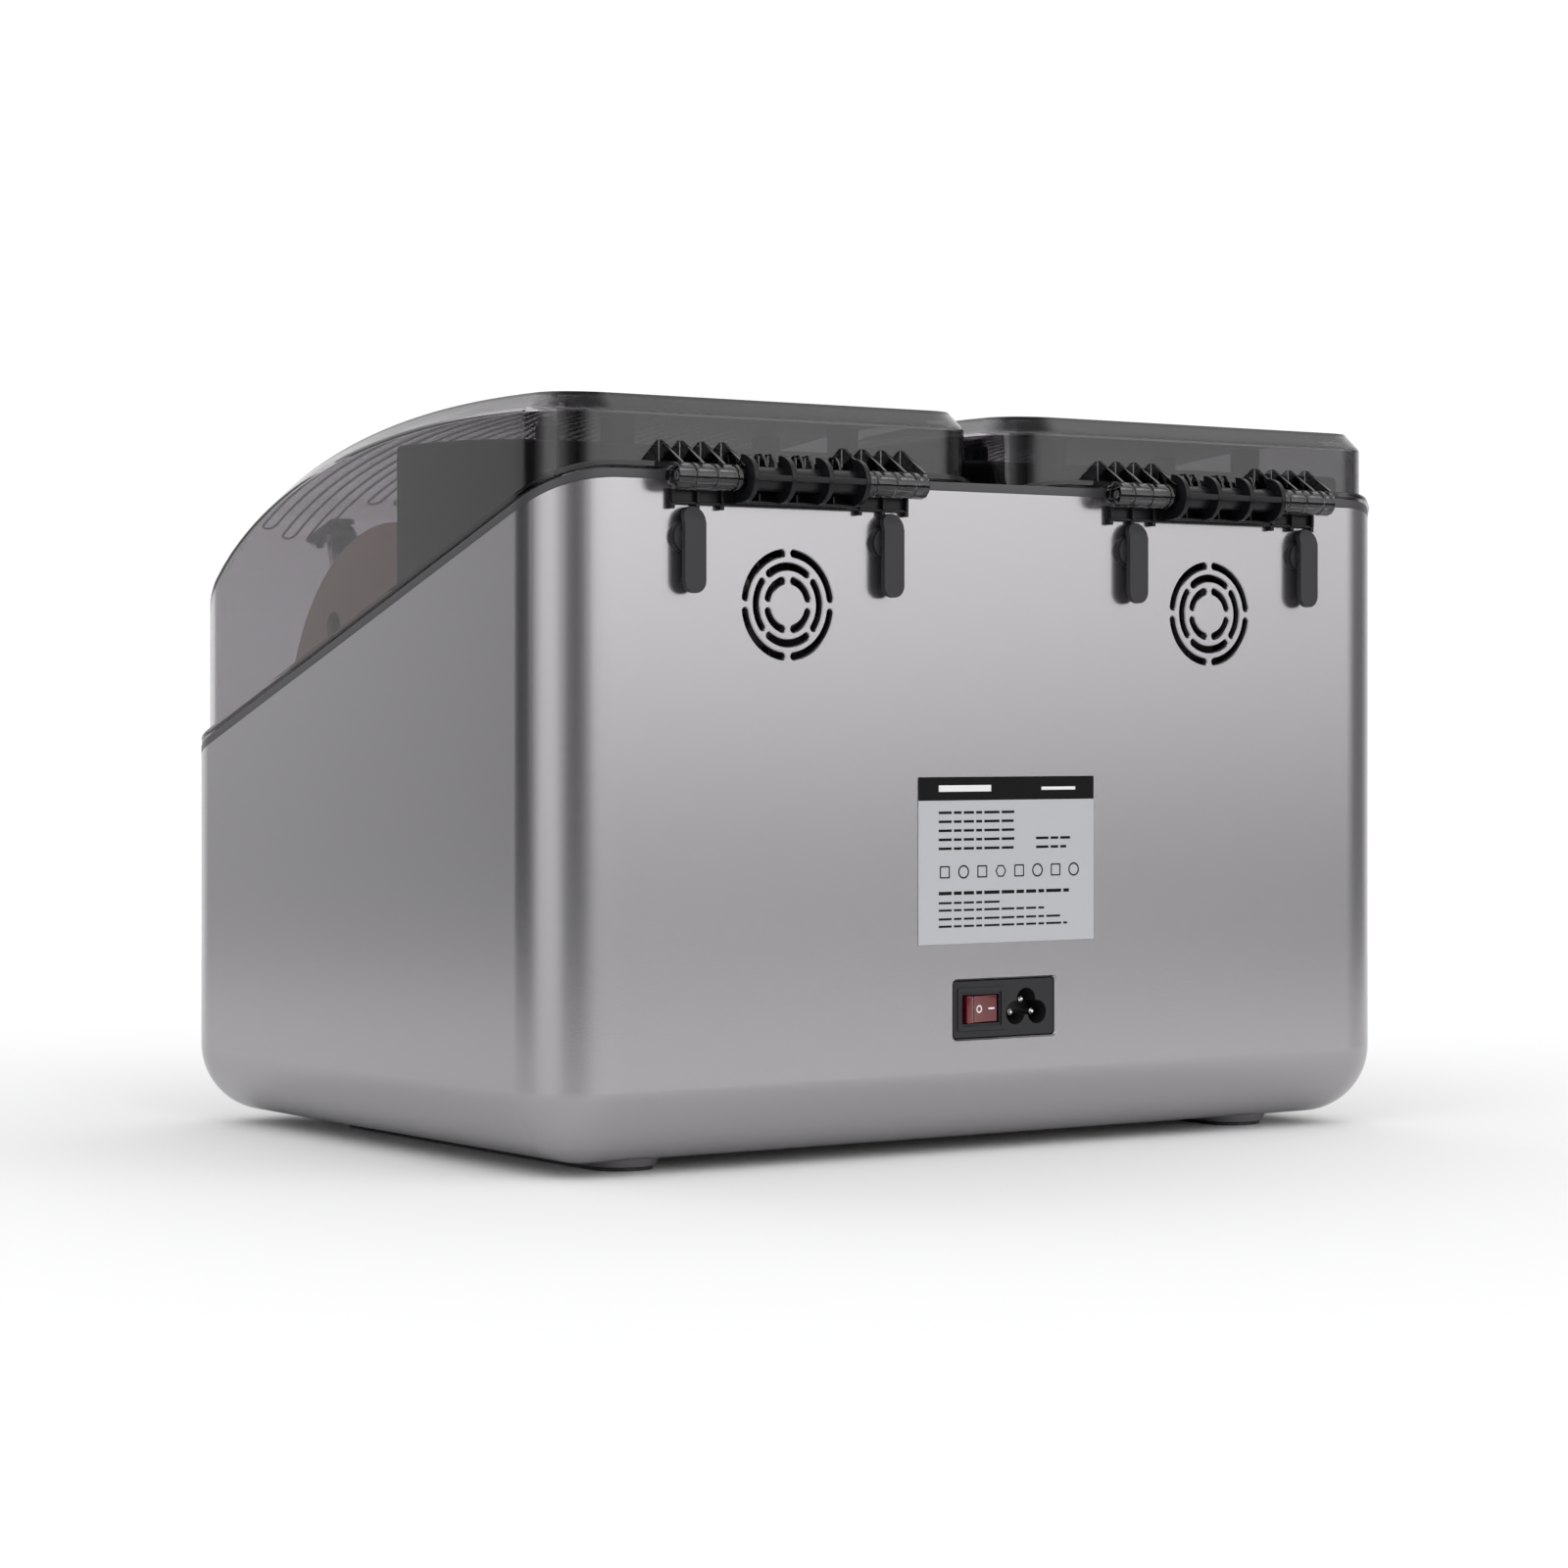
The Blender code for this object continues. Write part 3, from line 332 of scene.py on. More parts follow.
def rim_band(name, low, high, half_width=240.0):
    """A slab across the whole width, between two heights above the rim."""
    outline = [(y, rim_z(y) + low) for y in RIM_STATIONS]
    outline += [(y, rim_z(y) + high) for y in reversed(RIM_STATIONS)]
    return prism(name, outline, -half_width, half_width, "X")


def above_rim(name):
    outline = [(y, rim_z(y)) for y in RIM_STATIONS] + [(REAR_Y + 6, 335), (FRONT_Y - 6, 335)]
    return prism(name, outline, -240, 240, "X")


def stations(x_half, front, rear, radius, steps, spans, round_front=True):
    """(half width, y) down one side of a rounded rectangle, from front to rear."""
    turns = [math.pi / 2 * i / steps for i in range(steps + 1)]
    inner = x_half - radius
    ends = [(x_half, front)]
    if round_front:
        ends = [(inner + radius * math.sin(a), front + radius - radius * math.cos(a)) for a in turns]
    first, last = ends[-1][1], rear - radius
    middle = [(x_half, first + (last - first) * i / spans) for i in range(1, spans)]
    back = [(inner + radius * math.cos(a), last + radius * math.sin(a)) for a in turns]
    return ends + middle + back


def canopy(name, centre_x, rings, thickness, finish, front_closed=True):
    """A shell from rings of (half width, y, z) stations, with its top joined across from side to side."""
    bm = bmesh.new()
    levels = []
    for ring in rings:
        right = [bm.verts.new(((centre_x + h) * MM, y * MM, z * MM)) for h, y, z in ring]
        left = [bm.verts.new(((centre_x - h) * MM, y * MM, z * MM)) for h, y, z in ring]
        levels.append((right, left))
    last = len(rings[0]) - 1
    for (low_r, low_l), (up_r, up_l) in zip(levels, levels[1:]):
        for i in range(last):
            bm.faces.new((low_r[i], low_r[i + 1], up_r[i + 1], up_r[i]))
            bm.faces.new((low_l[i + 1], low_l[i], up_l[i], up_l[i + 1]))
        bm.faces.new((low_r[last], low_l[last], up_l[last], up_r[last]))
        if front_closed:
            bm.faces.new((low_l[0], low_r[0], up_r[0], up_l[0]))
    right, left = levels[-1]
    for i in range(last):
        bm.faces.new((right[i], right[i + 1], left[i + 1], left[i]))
    obj = from_bmesh(name, bm, finish)
    solidify = obj.modifiers.new("wall", "SOLIDIFY")
    solidify.thickness = thickness * MM
    solidify.offset = -1
    solidify.use_even_offset = True
    return freeze(obj)


# ---------------------------------------------------------------- housing


def slot_outline(centre_x, radius, start, end, half):
    """An arc slot with round ends, as (x, z) points."""
    tips = [arc(centre_x, FAN_Z, radius, a, a, 1)[0] for a in (start, end)]
    outline = arc(centre_x, FAN_Z, radius + half, start, end, 16)
    outline += arc(*tips[1], half, end, end + 180, 8)[1:-1]
    outline += arc(centre_x, FAN_Z, radius - half, end, start, 16)
    outline += arc(*tips[0], half, start + 180, start + 360, 8)[1:-1]
    return outline


def grille_cutters(centre_x):
    """Each slot's cutter flares where it leaves the panel, which leaves a small chamfer."""
    for radius, margin, turn in GRILLE_RINGS:
        for k in range(4):
            start, end = turn + 90 * k - 45 + margin, turn + 90 * k + 45 - margin
            levels = (
                (REAR_Y - 8, slot_outline(centre_x, radius, start, end, GRILLE_SLOT / 2)),
                (REAR_Y - 0.45, slot_outline(centre_x, radius, start, end, GRILLE_SLOT / 2)),
                (REAR_Y + 0.55, slot_outline(centre_x, radius, start, end, GRILLE_SLOT / 2 + 0.9)),
            )
            yield stack("slot", levels, "Y")


def plinth(sign):
    """The tapered rail above a foot pad."""
    middle_y, half_y = sum(PLINTH_Y) / 2, (PLINTH_Y[1] - PLINTH_Y[0]) / 2
    levels = [
        (z, grown_rect(sign * PLINTH_X, middle_y, PLINTH_HALF, half_y, 14.4, grow, 10))
        for z, grow in ((PLINTH_Z[0], 0.0), (PLINTH_Z[1], 3.5))
    ]
    return stack("plinth", levels, "Z")


def housing():
    bm = bmesh.new()
    bmesh.ops.create_cube(bm, size=1)
    low, high = (-HALF_WIDTH, FRONT_Y, BASE_Z), (HALF_WIDTH, REAR_Y, 320.0)
    for v in bm.verts:
        v.co = Vector([(a if c < 0 else b) * MM for c, a, b in zip(v.co, low, high)])
    bm.normal_update()
    bmesh.ops.delete(bm, geom=[f for f in bm.faces if f.normal.z > 0.9], context="FACES")
    rounded = [e for e in bm.edges if not all(v.co.z > 0.3 for v in e.verts)]
    steps = 20
    bmesh.ops.bevel(bm, geom=rounded, offset=CORNER_R * MM, segments=steps, affect="EDGES", profile=0.5)
    shell = from_bmesh("housing_skin", bm, PAINT)
    solidify = shell.modifiers.new("wall", "SOLIDIFY")
    solidify.thickness = WALL * MM
    solidify.offset = -1
    solidify.use_even_offset = True
    freeze(shell)
    boolean(shell, gather("plinths", [plinth(-1), plinth(1)]), "UNION")
    cut(shell, above_rim("above"))
    cut(shell, gather("grilles", list(grille_cutters(UNIT_X)) + list(grille_cutters(-UNIT_X))))
    mouth = [
        (y, grown_rect(INLET_X, INLET_Z, *INLET_HALF, 1.6, g))
        for y, g in ((REAR_Y - 8, 0.2), (REAR_Y - 0.9, 0.2), (REAR_Y - 0.25, 0.75), (REAR_Y + 1, 1.5))
    ]
    ports = [rod("port", 5.4, (x, REAR_Y - 8, REAR_PORT_Z), (x, REAR_Y + 5, REAR_PORT_Z)) for x in BAYS]
    screen = prism("screen", grown_rect(0, 108, 66, 27, 6, 0.3), FRONT_Y - 5, FRONT_Y + 8, "Y")
    hatch = prism("hatch", rounded_rect(-120.3, 120.3, -90.3, 90.3, 6.3), BASE_Z - 5, BASE_Z + 8, "Z")
    cut(shell, gather("holes", ports + [stack("inlet_mouth", mouth, "Y"), screen, hatch]))
    return dress(soften(shell, 0.0, angle=28), "housing", "housing_paint", "body_shell")


def trimmed_frame():
    """The black frame on the housing's edge: a solid band whose inside is cut away over both chambers."""
    plan = rounded_rect(-HALF_WIDTH, HALF_WIDTH, FRONT_Y, REAR_Y, CORNER_R, 20)
    band = prism("rim_band", plan, 150, 310, "Z", DARK_FRAME)
    boolean(band, rim_band("band_trim", 0.1, FRAME_TOP), "INTERSECT")
    for side in (-1, 1):
        x0, x1 = sorted((side * 19.0, side * 215.0))
        cut(band, prism("over_chamber", rounded_rect(x0, x1, -160, 88, 10), 140, 320, "Z"))
    return dress(soften(band, 0.5, 2, 40), "housing", "black_plastic", "rim_frame")


# ---------------------------------------------------------------- lids


LID_STEPS = 14
LID_SPANS = 36


def lid_rings():
    """Rings from the flange's edge up the wall, over the chamfer, to the edge of the raised top."""
    half = (LID_X[1] - LID_X[0]) / 2

    def ring(inset, height):
        front, rear = LID_Y[0] + inset, LID_Y[1] - inset
        plan = stations(half - inset, front, rear, LID_R - inset, LID_STEPS, LID_SPANS)
        return [(h, y, height(y)) for h, y in plan]

    def on_chamfer(share):
        return lambda y: crown_z(y, *SHOULDER) * (1 - share) + crown_z(y, *PLATEAU) * share

    rings = [ring(inset, lambda y: rim_z(y) + FLANGE_TOP) for inset in (-FLANGE_WIDTH, -1.0)]
    rings.append(ring(-0.3, lambda y: rim_z(y) + FLANGE_TOP + 0.3))
    rings.append(ring(0.0, lambda y: rim_z(y) + FLANGE_TOP + 1.0))
    rings.append(ring(0.0, lambda y: crown_z(y, *SHOULDER) - 1.0))
    rings.append(ring(0.3, lambda y: crown_z(y, *SHOULDER) + 0.1))
    for inset in (1.2, 2.4, 3.6, 4.8, 6.0):
        rings.append(ring(inset, on_chamfer(inset / CHAMFER)))
    rings.append(ring(CHAMFER - 0.2, lambda y: crown_z(y, *PLATEAU) - 0.1))
    rings.append(ring(CHAMFER + 0.7, lambda y: crown_z(y, *PLATEAU)))
    return rings


def front_port(distance):
    """The (y, z) of a point on a front outlet's axis."""
    tilt = math.radians(PORT_TILT)
    return PORT_Y - distance * math.sin(tilt), PORT_Z + distance * math.cos(tilt)


def lid(side, word):
    centre = side * sum(LID_X) / 2
    x = side * UNIT_X
    shell = canopy(f"lid_skin_{word}", centre, lid_rings(), LID_WALL, SMOKED)
    notch = box("notch", (x - 32.2, LID_Y[1] + 0.2, 285), (x + 32.2, REAR_Y + 3, 302))
    cut(shell, notch)
    for bay in BAYS[2:]:
        deep, near, rim, far = ((side * bay, *front_port(d)) for d in (-16, -12, PORT_RIM, 12))
        boolean(shell, rod("outlet", 7.5, near, rim), "UNION")
        cut(shell, rod("bore", 5.4, deep, far))
    # The rear wall's faces take the darker copy of the smoked plastic, which paints shade on them
    shell.data.materials.append(SMOKED_PAINTED_SHADE)
    for face in shell.data.polygons:
        painted_shade_on_rear_wall = face.center.y > (LID_Y[1] - 11) * MM and abs(face.normal.y) > 0.55
        face.material_index = int(painted_shade_on_rear_wall)
    soften(shell, 0.0, angle=24)
    return dress(shell, f"lid_{word}", "smoked_plastic", f"lid_shell_{word}")


PORT_OFFSETS = [abs(bay - sum(LID_X) / 2) for bay in BAYS[2:]]
RIB_PITCH, RIB_WIDTH = 13.9, 6.5


def hairpin(x, width, front, rear):
    """The (x, y) line of one long U, open at the rear."""
    half = width / 2
    bend = front + half
    line = [(x - half, rear - i * (rear - bend) / 40) for i in range(41)]
    line += arc(x, bend, half, 180, 360, 12)[1:-1]
    return line + [(x + half, bend + i * (rear - bend) / 40) for i in range(41)]


def lid_ribs(side, word):
    """The long raised U lines under the lid's top, which stop short of the outlets."""
    curve = bpy.data.curves.new(f"lid_ribs_{word}", "CURVE")
    curve.dimensions = "3D"
    curve.bevel_depth = 0.6 * MM
    curve.bevel_resolution = 1
    curve.use_fill_caps = True
    centre = side * sum(LID_X) / 2
    for k in range(-7, 8):
        offset = RIB_PITCH * k
        near_port = min(abs(abs(offset) - port) for port in PORT_OFFSETS) < 16
        front = -96.0 if near_port else -131.0 + 10.0 * (k / 7) ** 8
        line = hairpin(centre + offset, RIB_WIDTH, front, 143.0)
        spline = curve.splines.new("POLY")
        spline.points.add(len(line) - 1)
        for point, (px, py) in zip(spline.points, line):
            point.co = (px * MM, py * MM, (crown_z(py, *PLATEAU) - LID_WALL - 0.5) * MM, 1)
    guide = bpy.data.objects.new("guide", curve)
    bpy.context.scene.collection.objects.link(guide)
    mesh = bpy.data.meshes.new_from_object(guide.evaluated_get(bpy.context.evaluated_depsgraph_get()))
    bpy.data.objects.remove(guide)
    ribs = add_object(f"lid_ribs_{word}", mesh, CLEAR)
    mesh.shade_smooth()
    return dress(ribs, f"lid_{word}", "smoked_plastic")


def hood(side, word):
    steps, spans = ((12, 24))
    rings = []
    front, rear = HOOD_Y
    for inset, rise in ((0.0, None), (0.0, -2.4), (0.25, -1.4), (0.9, -0.6), (1.8, -0.1), (2.6, 0.0)):
        half, radius = HOOD_HALF - inset, HOOD_R - inset
        plan = stations(half, front, rear - inset, radius, steps, spans, round_front=False)
        if rise is None:
            rings.append([(h, y, rim_z(y) + FRAME_TOP + 1.5) for h, y in plan])
        else:
            rings.append([(h, y, hood_top_z(y) + rise) for h, y in plan])
    shell = canopy(f"hood_skin_{word}", side * UNIT_X, rings, 2.0, MATTE, front_closed=False)
    for s in (-1, 1):
        for y, radius in ((60, 6.2), (120, 6.8)):
            at = (side * UNIT_X + s * 58, y)
            boolean(shell, rod("post", radius, (*at, hood_top_z(y) - 1), (*at, 317.3)), "UNION")
            under_lid = crown_z(y, *PLATEAU) - LID_WALL - 0.2
            post = rod(f"lid_post_{word}", 4.6, (*at, 317.5), (*at, under_lid), CLEAR)
            cut(post, rod("post_bore", 2.0, (*at, 310), (*at, 322)))
            dress(soften(post, 0.2, 2), f"lid_{word}", "smoked_plastic")
            screw = rod(f"hood_screw_{word}", 1.4, (*at, 317.6), (*at, 321.5), STEEL, sides=16)
            dress(soften(screw), f"lid_{word}", "steel")
    return dress(soften(shell, 0.0, angle=30), f"lid_{word}", "black_plastic", f"air_hood_{word}")


# ---------------------------------------------------------------- hinge


def hinge(side, word):
    x = side * UNIT_X
    body, lid_body = "housing", f"lid_{word}"
    wall_y = LID_Y[1] + 0.1
    # Lid side: two clear knuckles with gussets, and small fins above the sleeve
    for s in (-1, 1):
        low, high = sorted((x + s * 30.4, x + s * 63.8))
        knuckle = prism(f"knuckle_{word}", circle(AXIS_Y, AXIS_Z, KNUCKLE_R, 12), low, high, "X", CLEAR)
        cut(knuckle, rod("bore", 2.4, (low - 5, AXIS_Y, AXIS_Z), (high + 5, AXIS_Y, AXIS_Z)))
        for offset in (35.5, 45.8, 56.1):
            at = x + s * offset
            groove = prism("groove", circle(AXIS_Y, AXIS_Z, KNUCKLE_R + 3, 24), at - 0.9, at + 0.9, "X")
            core = circle(AXIS_Y, AXIS_Z, KNUCKLE_R - 0.8, 24)
            cut(groove, prism("groove_core", core, x - 90, x + 90, "X"))
            cut(knuckle, groove)
        dress(soften(knuckle, 0.35, 2), lid_body, "smoked_plastic")
        gusset = [
            (wall_y, AXIS_Z + 15.6),
            (wall_y, AXIS_Z + 3.6),
            (AXIS_Y - 4.4, AXIS_Z + 4.1),
            (AXIS_Y + 1.0, AXIS_Z + 6.2),
            (AXIS_Y + 4.4, AXIS_Z + 4.6),
            (AXIS_Y + 4.8, AXIS_Z + 5.2),
            (wall_y + 1.2, AXIS_Z + 15.6),
        ]
        small = [
            (wall_y, AXIS_Z + 11.0),
            (wall_y, AXIS_Z + 3.4),
            (AXIS_Y - 7.0, AXIS_Z + 5.4),
            (wall_y + 4.6, AXIS_Z + 8.6),
            (wall_y + 2.2, AXIS_Z + 11.4),
            (wall_y + 1.0, AXIS_Z + 11.7),
        ]
        fins = (("gusset", gusset, (30.9, 41.2, 51.5, 61.8)), ("fin", small, (7.1, 11.9, 26.1)))
        for kind, outline, offsets in fins:
            for offset in offsets:
                at = x + s * offset
                plate = prism(f"{kind}_{word}", outline, at - 0.8, at + 0.8, "X", CLEAR)
                dress(soften(plate, 0.3, 2), lid_body, "smoked_plastic")
    pin_ends = ((x - 62.5, AXIS_Y, AXIS_Z), (x + 62.5, AXIS_Y, AXIS_Z))
    pin = rod(f"pin_skin_{word}", 1.5, *pin_ends, STEEL, sides=24)
    dress(soften(pin), body, "steel", f"hinge_pin_{word}")
    # Housing side: sleeve, C ribs, tie bar and the toothed back plate
    sleeve_ends = ((x - 31.5, AXIS_Y, AXIS_Z), (x + 31.5, AXIS_Y, AXIS_Z))
    sleeve = rod(f"sleeve_skin_{word}", SLEEVE_R, *sleeve_ends, SATIN)
    cut(sleeve, rod("bore", 1.8, (x - 40, AXIS_Y, AXIS_Z), (x + 40, AXIS_Y, AXIS_Z)))
    dress(soften(sleeve, 0.3), body, "black_plastic", f"hinge_sleeve_{word}")
    y0 = REAR_Y + 0.2
    outline = arc(AXIS_Y, AXIS_Z, RIB_R, 95, -90, 24) + [(y0, AXIS_Z - RIB_R), (y0, AXIS_Z - 2)]
    outline += arc(AXIS_Y, AXIS_Z, SLEEVE_R + 0.05, 200, 360 + 95, 24)
    pieces = [prism("rib", outline, x + o - 1.25, x + o + 1.25, "X") for o in (-28.5, -9.5, 9.5, 28.5)]
    pieces.append(box("tie", (x - 29.6, AXIS_Y + 7.0, AXIS_Z - 1.3), (x + 29.6, AXIS_Y + 9.7, AXIS_Z + 1.3)))
    pieces.append(box("plate", (x - 61, y0, 279.2), (x + 61, y0 + 1.2, 285.2)))
    pieces.append(box("middle", (x - 30, y0, 279.4), (x + 30, y0 + 1.4, 289.4)))
    pieces.append(box("ledge", (x - 61, y0, 279.0), (x + 61, y0 + 2.6, 280.3)))
    pieces.append(box("skirt", (x - 29.6, y0 + 0.2, 280.0), (x + 29.6, y0 + 8.6, 281.2)))
    for offset in (-59.8, -47.5, -35.3, 35.3, 47.5, 59.8):
        pieces.append(box("tooth", (x + offset - 1.0, y0, 277.2), (x + offset + 1.0, y0 + 2.9, 279.6)))
        pieces.append(box("web", (x + offset - 0.7, y0, 279.6), (x + offset + 0.7, y0 + 3.4, 285.8)))
    for offset in (-19, 0, 19):
        pieces.append(box("web", (x + offset - 0.6, y0, 280.2), (x + offset + 0.6, y0 + 6.6, 284.6)))
    bracket = gather(f"bracket_skin_{word}", pieces, SATIN)
    dress(soften(bracket, 0.28, 2), body, "black_plastic", f"hinge_bracket_{word}")


# ---------------------------------------------------------------- plugs


def plug(name, body, place, node):
    """A silicone stopper and its paddle. In its frame +Z is the way it pulls out and +Y is up the paddle."""
    half, top, length, low, thick, crease = 5.2, 12.5, 36.0, 4.0, 2.6, 5.6
    aside = 2.0  # the paddle stands a little off the stopper's axis
    outline = arc(aside, top - half, half, 0, 180, 20) + arc(aside, top - length + half, half, 180, 360, 20)
    bm = bmesh.new()
    paddle = prism("paddle", outline, low, low + thick, "Z")
    bm.from_mesh(paddle.data)
    bpy.data.objects.remove(paddle)
    geometry = bm.verts[:] + bm.edges[:] + bm.faces[:]
    bmesh.ops.bisect_plane(bm, geom=geometry, plane_co=(0, crease * MM, 0), plane_no=(0, 1, 0))
    for v in bm.verts:
        v.co.z -= max(v.co.y - crease * MM, 0) * math.tan(math.radians(20))
    made = from_bmesh(name, bm, SILICONE)
    for radius, start, end in ((3.6, 0.5, 5.0), (6.9, 0.2, 1.6), (6.2, 2.1, 3.2), (5.0, -7.0, 1.0)):
        boolean(made, rod("disc", radius, (0, 0, start), (0, 0, end)), "UNION")
    nub_y = top - length + 5
    boolean(made, rod("nub", 1.9, (aside, nub_y, 0.8), (aside, nub_y, 5.0)), "UNION")
    made.data.transform(place)
    return dress(soften(made, 0.4, 3), body, "black_rubber", node)


def plugs():
    rearward = Matrix.Rotation(math.pi, 4, "Z") @ Matrix.Rotation(math.radians(90), 4, "X")
    forward = Matrix.Rotation(math.radians(PORT_TILT), 4, "X")
    for k, x in enumerate(BAYS, 1):
        place = Matrix.Translation(Vector((x, REAR_Y, REAR_PORT_Z)) * MM) @ rearward
        plug(f"rear_stopper_{k}", f"rear_plug_{k}", place, f"rear_plug_{k}")
        place = Matrix.Translation(Vector((x, *front_port(PORT_RIM))) * MM) @ forward
        plug(f"front_stopper_{k}", f"front_plug_{k}", place, f"front_plug_{k}")


# ---------------------------------------------------------------- label, inlet and rocker


def icon_outline(k, x, z, radius, half, corner):
    """A plain round, hexagon or square, in turn, where a real label has its approval marks."""
    if k % 2:
        return circle(x, z, radius, 24 if k % 3 else 6)
    return rounded_rect(x - half, x + half, z - half, z + half, corner, 2)


def label():
    """A blank rating label: foil, a black header band and plain bars where a real one has its print."""
    y, top = REAR_Y, LABEL_Z[1]
    foil = box("label_sheet", (-LABEL_HALF, y + 0.02, LABEL_Z[0]), (LABEL_HALF, y + 0.3, top), FOIL)
    dress(soften(foil), "housing", "label_foil", "rating_label")
    header = box("label_header", (-LABEL_HALF, y + 0.28, top - 10.2), (LABEL_HALF, y + 0.36, top), INK)
    dress(header, "housing", "label_foil")
    # Each line's start, height, length and thickness: +X is the left for who reads the rear panel
    left, column = 37.5, -16.0
    lines = (
        (left, 149.8, 44, 1.15),
        (left, 145.9, 41, 1.15),
        (left, 142.0, 42, 1.15),
        (left, 138.1, 42, 1.15),
        (left, 134.2, 41, 1.15),
        (left, 114.8, 72, 1.5),
        (left, 110.6, 34, 0.95),
        (left, 107.4, 58, 0.95),
        (left, 103.6, 67, 0.95),
        (left, 100.4, 71, 0.95),
        (column, 138.1, 21, 1.15),
        (column, 134.2, 17, 1.15),
    )
    pieces = []
    for start, z, length, thick in lines:
        x, word = start, 0
        while x > start - length + 2:
            run = (7.0, 4.2, 5.6, 3.2, 8.4)[word % 5]
            end = max(x - run, start - length)
            pieces.append(box("bar", (end, y + 0.28, z - thick / 2), (x, y + 0.33, z + thick / 2)))
            x, word = end - 1.2, word + 1
    for k in range(8):
        x, z = 34.2 - 10.2 * k, 124.0
        icon = prism("icon", icon_outline(k, x, z, 3.0, 2.7, 0.4), y + 0.28, y + 0.33, "Y")
        hole = prism("icon_hole", icon_outline(k, x, z, 2.3, 2.1, 0.3), y, y + 1, "Y")
        pieces.append(cut(icon, hole))
    dress(gather("label_print", pieces, INK), "housing", "label_foil")
    marks = [
        box("mark", (9.0, y + 0.35, top - 6.4), (left, y + 0.4, top - 3.6)),
        box("mark", (-38.0, y + 0.35, top - 6.0), (-19.0, y + 0.4, top - 4.6)),
    ]
    dress(gather("label_header_marks", marks, HEADER_MARK), "housing", "label_foil")


def inlet():
    """The mains inlet's plate with its three-lobed socket and pins, and the well and rim of the rocker."""
    w, h = INLET_HALF
    plate_levels = [
        (y, grown_rect(INLET_X, INLET_Z, w - 0.2, h - 0.2, 1.4, grow))
        for y, grow in ((150, 0), (161.9, 0), (162.15, -0.3))
    ]
    plate = stack("inlet_plate", plate_levels, "Y", INLET_BLACK)
    rim_levels = [
        (y, grown_rect(ROCKER_X, INLET_Z, 13.0, 9.5, 0.9, grow))
        for y, grow in ((161, 0), (162.5, 0), (162.8, -0.3))
    ]
    rim = stack("rocker_rim", rim_levels, "Y")
    cut(rim, prism("rim_inside", grown_rect(ROCKER_X, INLET_Z, 10.9, 7.4, 0.6, 0), 155, 170, "Y"))
    boolean(plate, rim, "UNION")
    cut(plate, prism("well", grown_rect(ROCKER_X, INLET_Z, 10.0, 6.3, 0.3, 0), 152, 170, "Y"))
    for x, z in LOBES:
        cut(plate, prism("lobe", circle(x, z, 5.2), 148, 170, "Y"))
    joining = rounded_rect(-15.5, -7.2, LOBES[0][1] - 1.0, LOBES[0][1] + 5.4, 0.5, 3)
    cut(plate, prism("lobe_middle", joining, 148, 170, "Y"))
    dress(soften(plate, 0.0, angle=30), "housing", "black_plastic", "inlet_module")
    back = box("inlet_back", (-24.5, 144.5, 54.5), (26, 149.5, 73.5), SOCKET_BLACK)
    dress(back, "housing", "black_plastic")
    for k, (x, z) in enumerate(LOBES, 1):
        pin = rod(f"pin_skin_{k}", 1.25, (x, 149, z), (x, 158.2, z), STEEL, sides=24)
        boolean(pin, rod("tip", 1.25, (x, 158.1, z), (x, 158.9, z), far_radius=0.6, sides=24), "UNION")
        dress(soften(pin, 0.2), "housing", "steel", f"inlet_pin_{k}")


def rocker():
    """The red rocker, at rest with its +X end out, and its two generic marks."""
    face = [(-9.6, 0.9), (-4.5, 0.15), (3.4, 0.35), (5.2, 1.0), (6.6, 1.75), (8.4, 1.75), (9.6, 1.2)]
    outline = [(-8.2, -5.5), (8.2, -5.5)] + list(reversed(face))
    made = prism("rocker_skin", outline, -5.9, 5.9, "Z", RED)
    pivot = Vector((ROCKER_X, 161.8, INLET_Z)) * MM
    tilt = Matrix.Translation(pivot) @ Matrix.Rotation(math.radians(9), 4, "Z")
    made.data.transform(tilt)
    dress(soften(made, 0.35, 3), "rocker", "rocker_red", "rocker_switch")
    ring = prism("mark_o", circle(1.3, 0, 1.7, 32), 0.1, 0.5, "Y", WHITE_MARK)
    cut(ring, prism("mark_hole", circle(1.3, 0, 1.15, 32), -3, 3, "Y"))
    stroke_side = [(-8.0, 0.1), (-4.7, 0.0), (-4.7, 0.35), (-8.0, 0.8)]
    stroke = prism("mark_i", stroke_side, -0.35, 0.35, "Z", WHITE_MARK)
    for mark in (ring, stroke):
        mark.data.transform(tilt)
        dress(mark, "rocker", "rocker_red")


# ---------------------------------------------------------------- spool


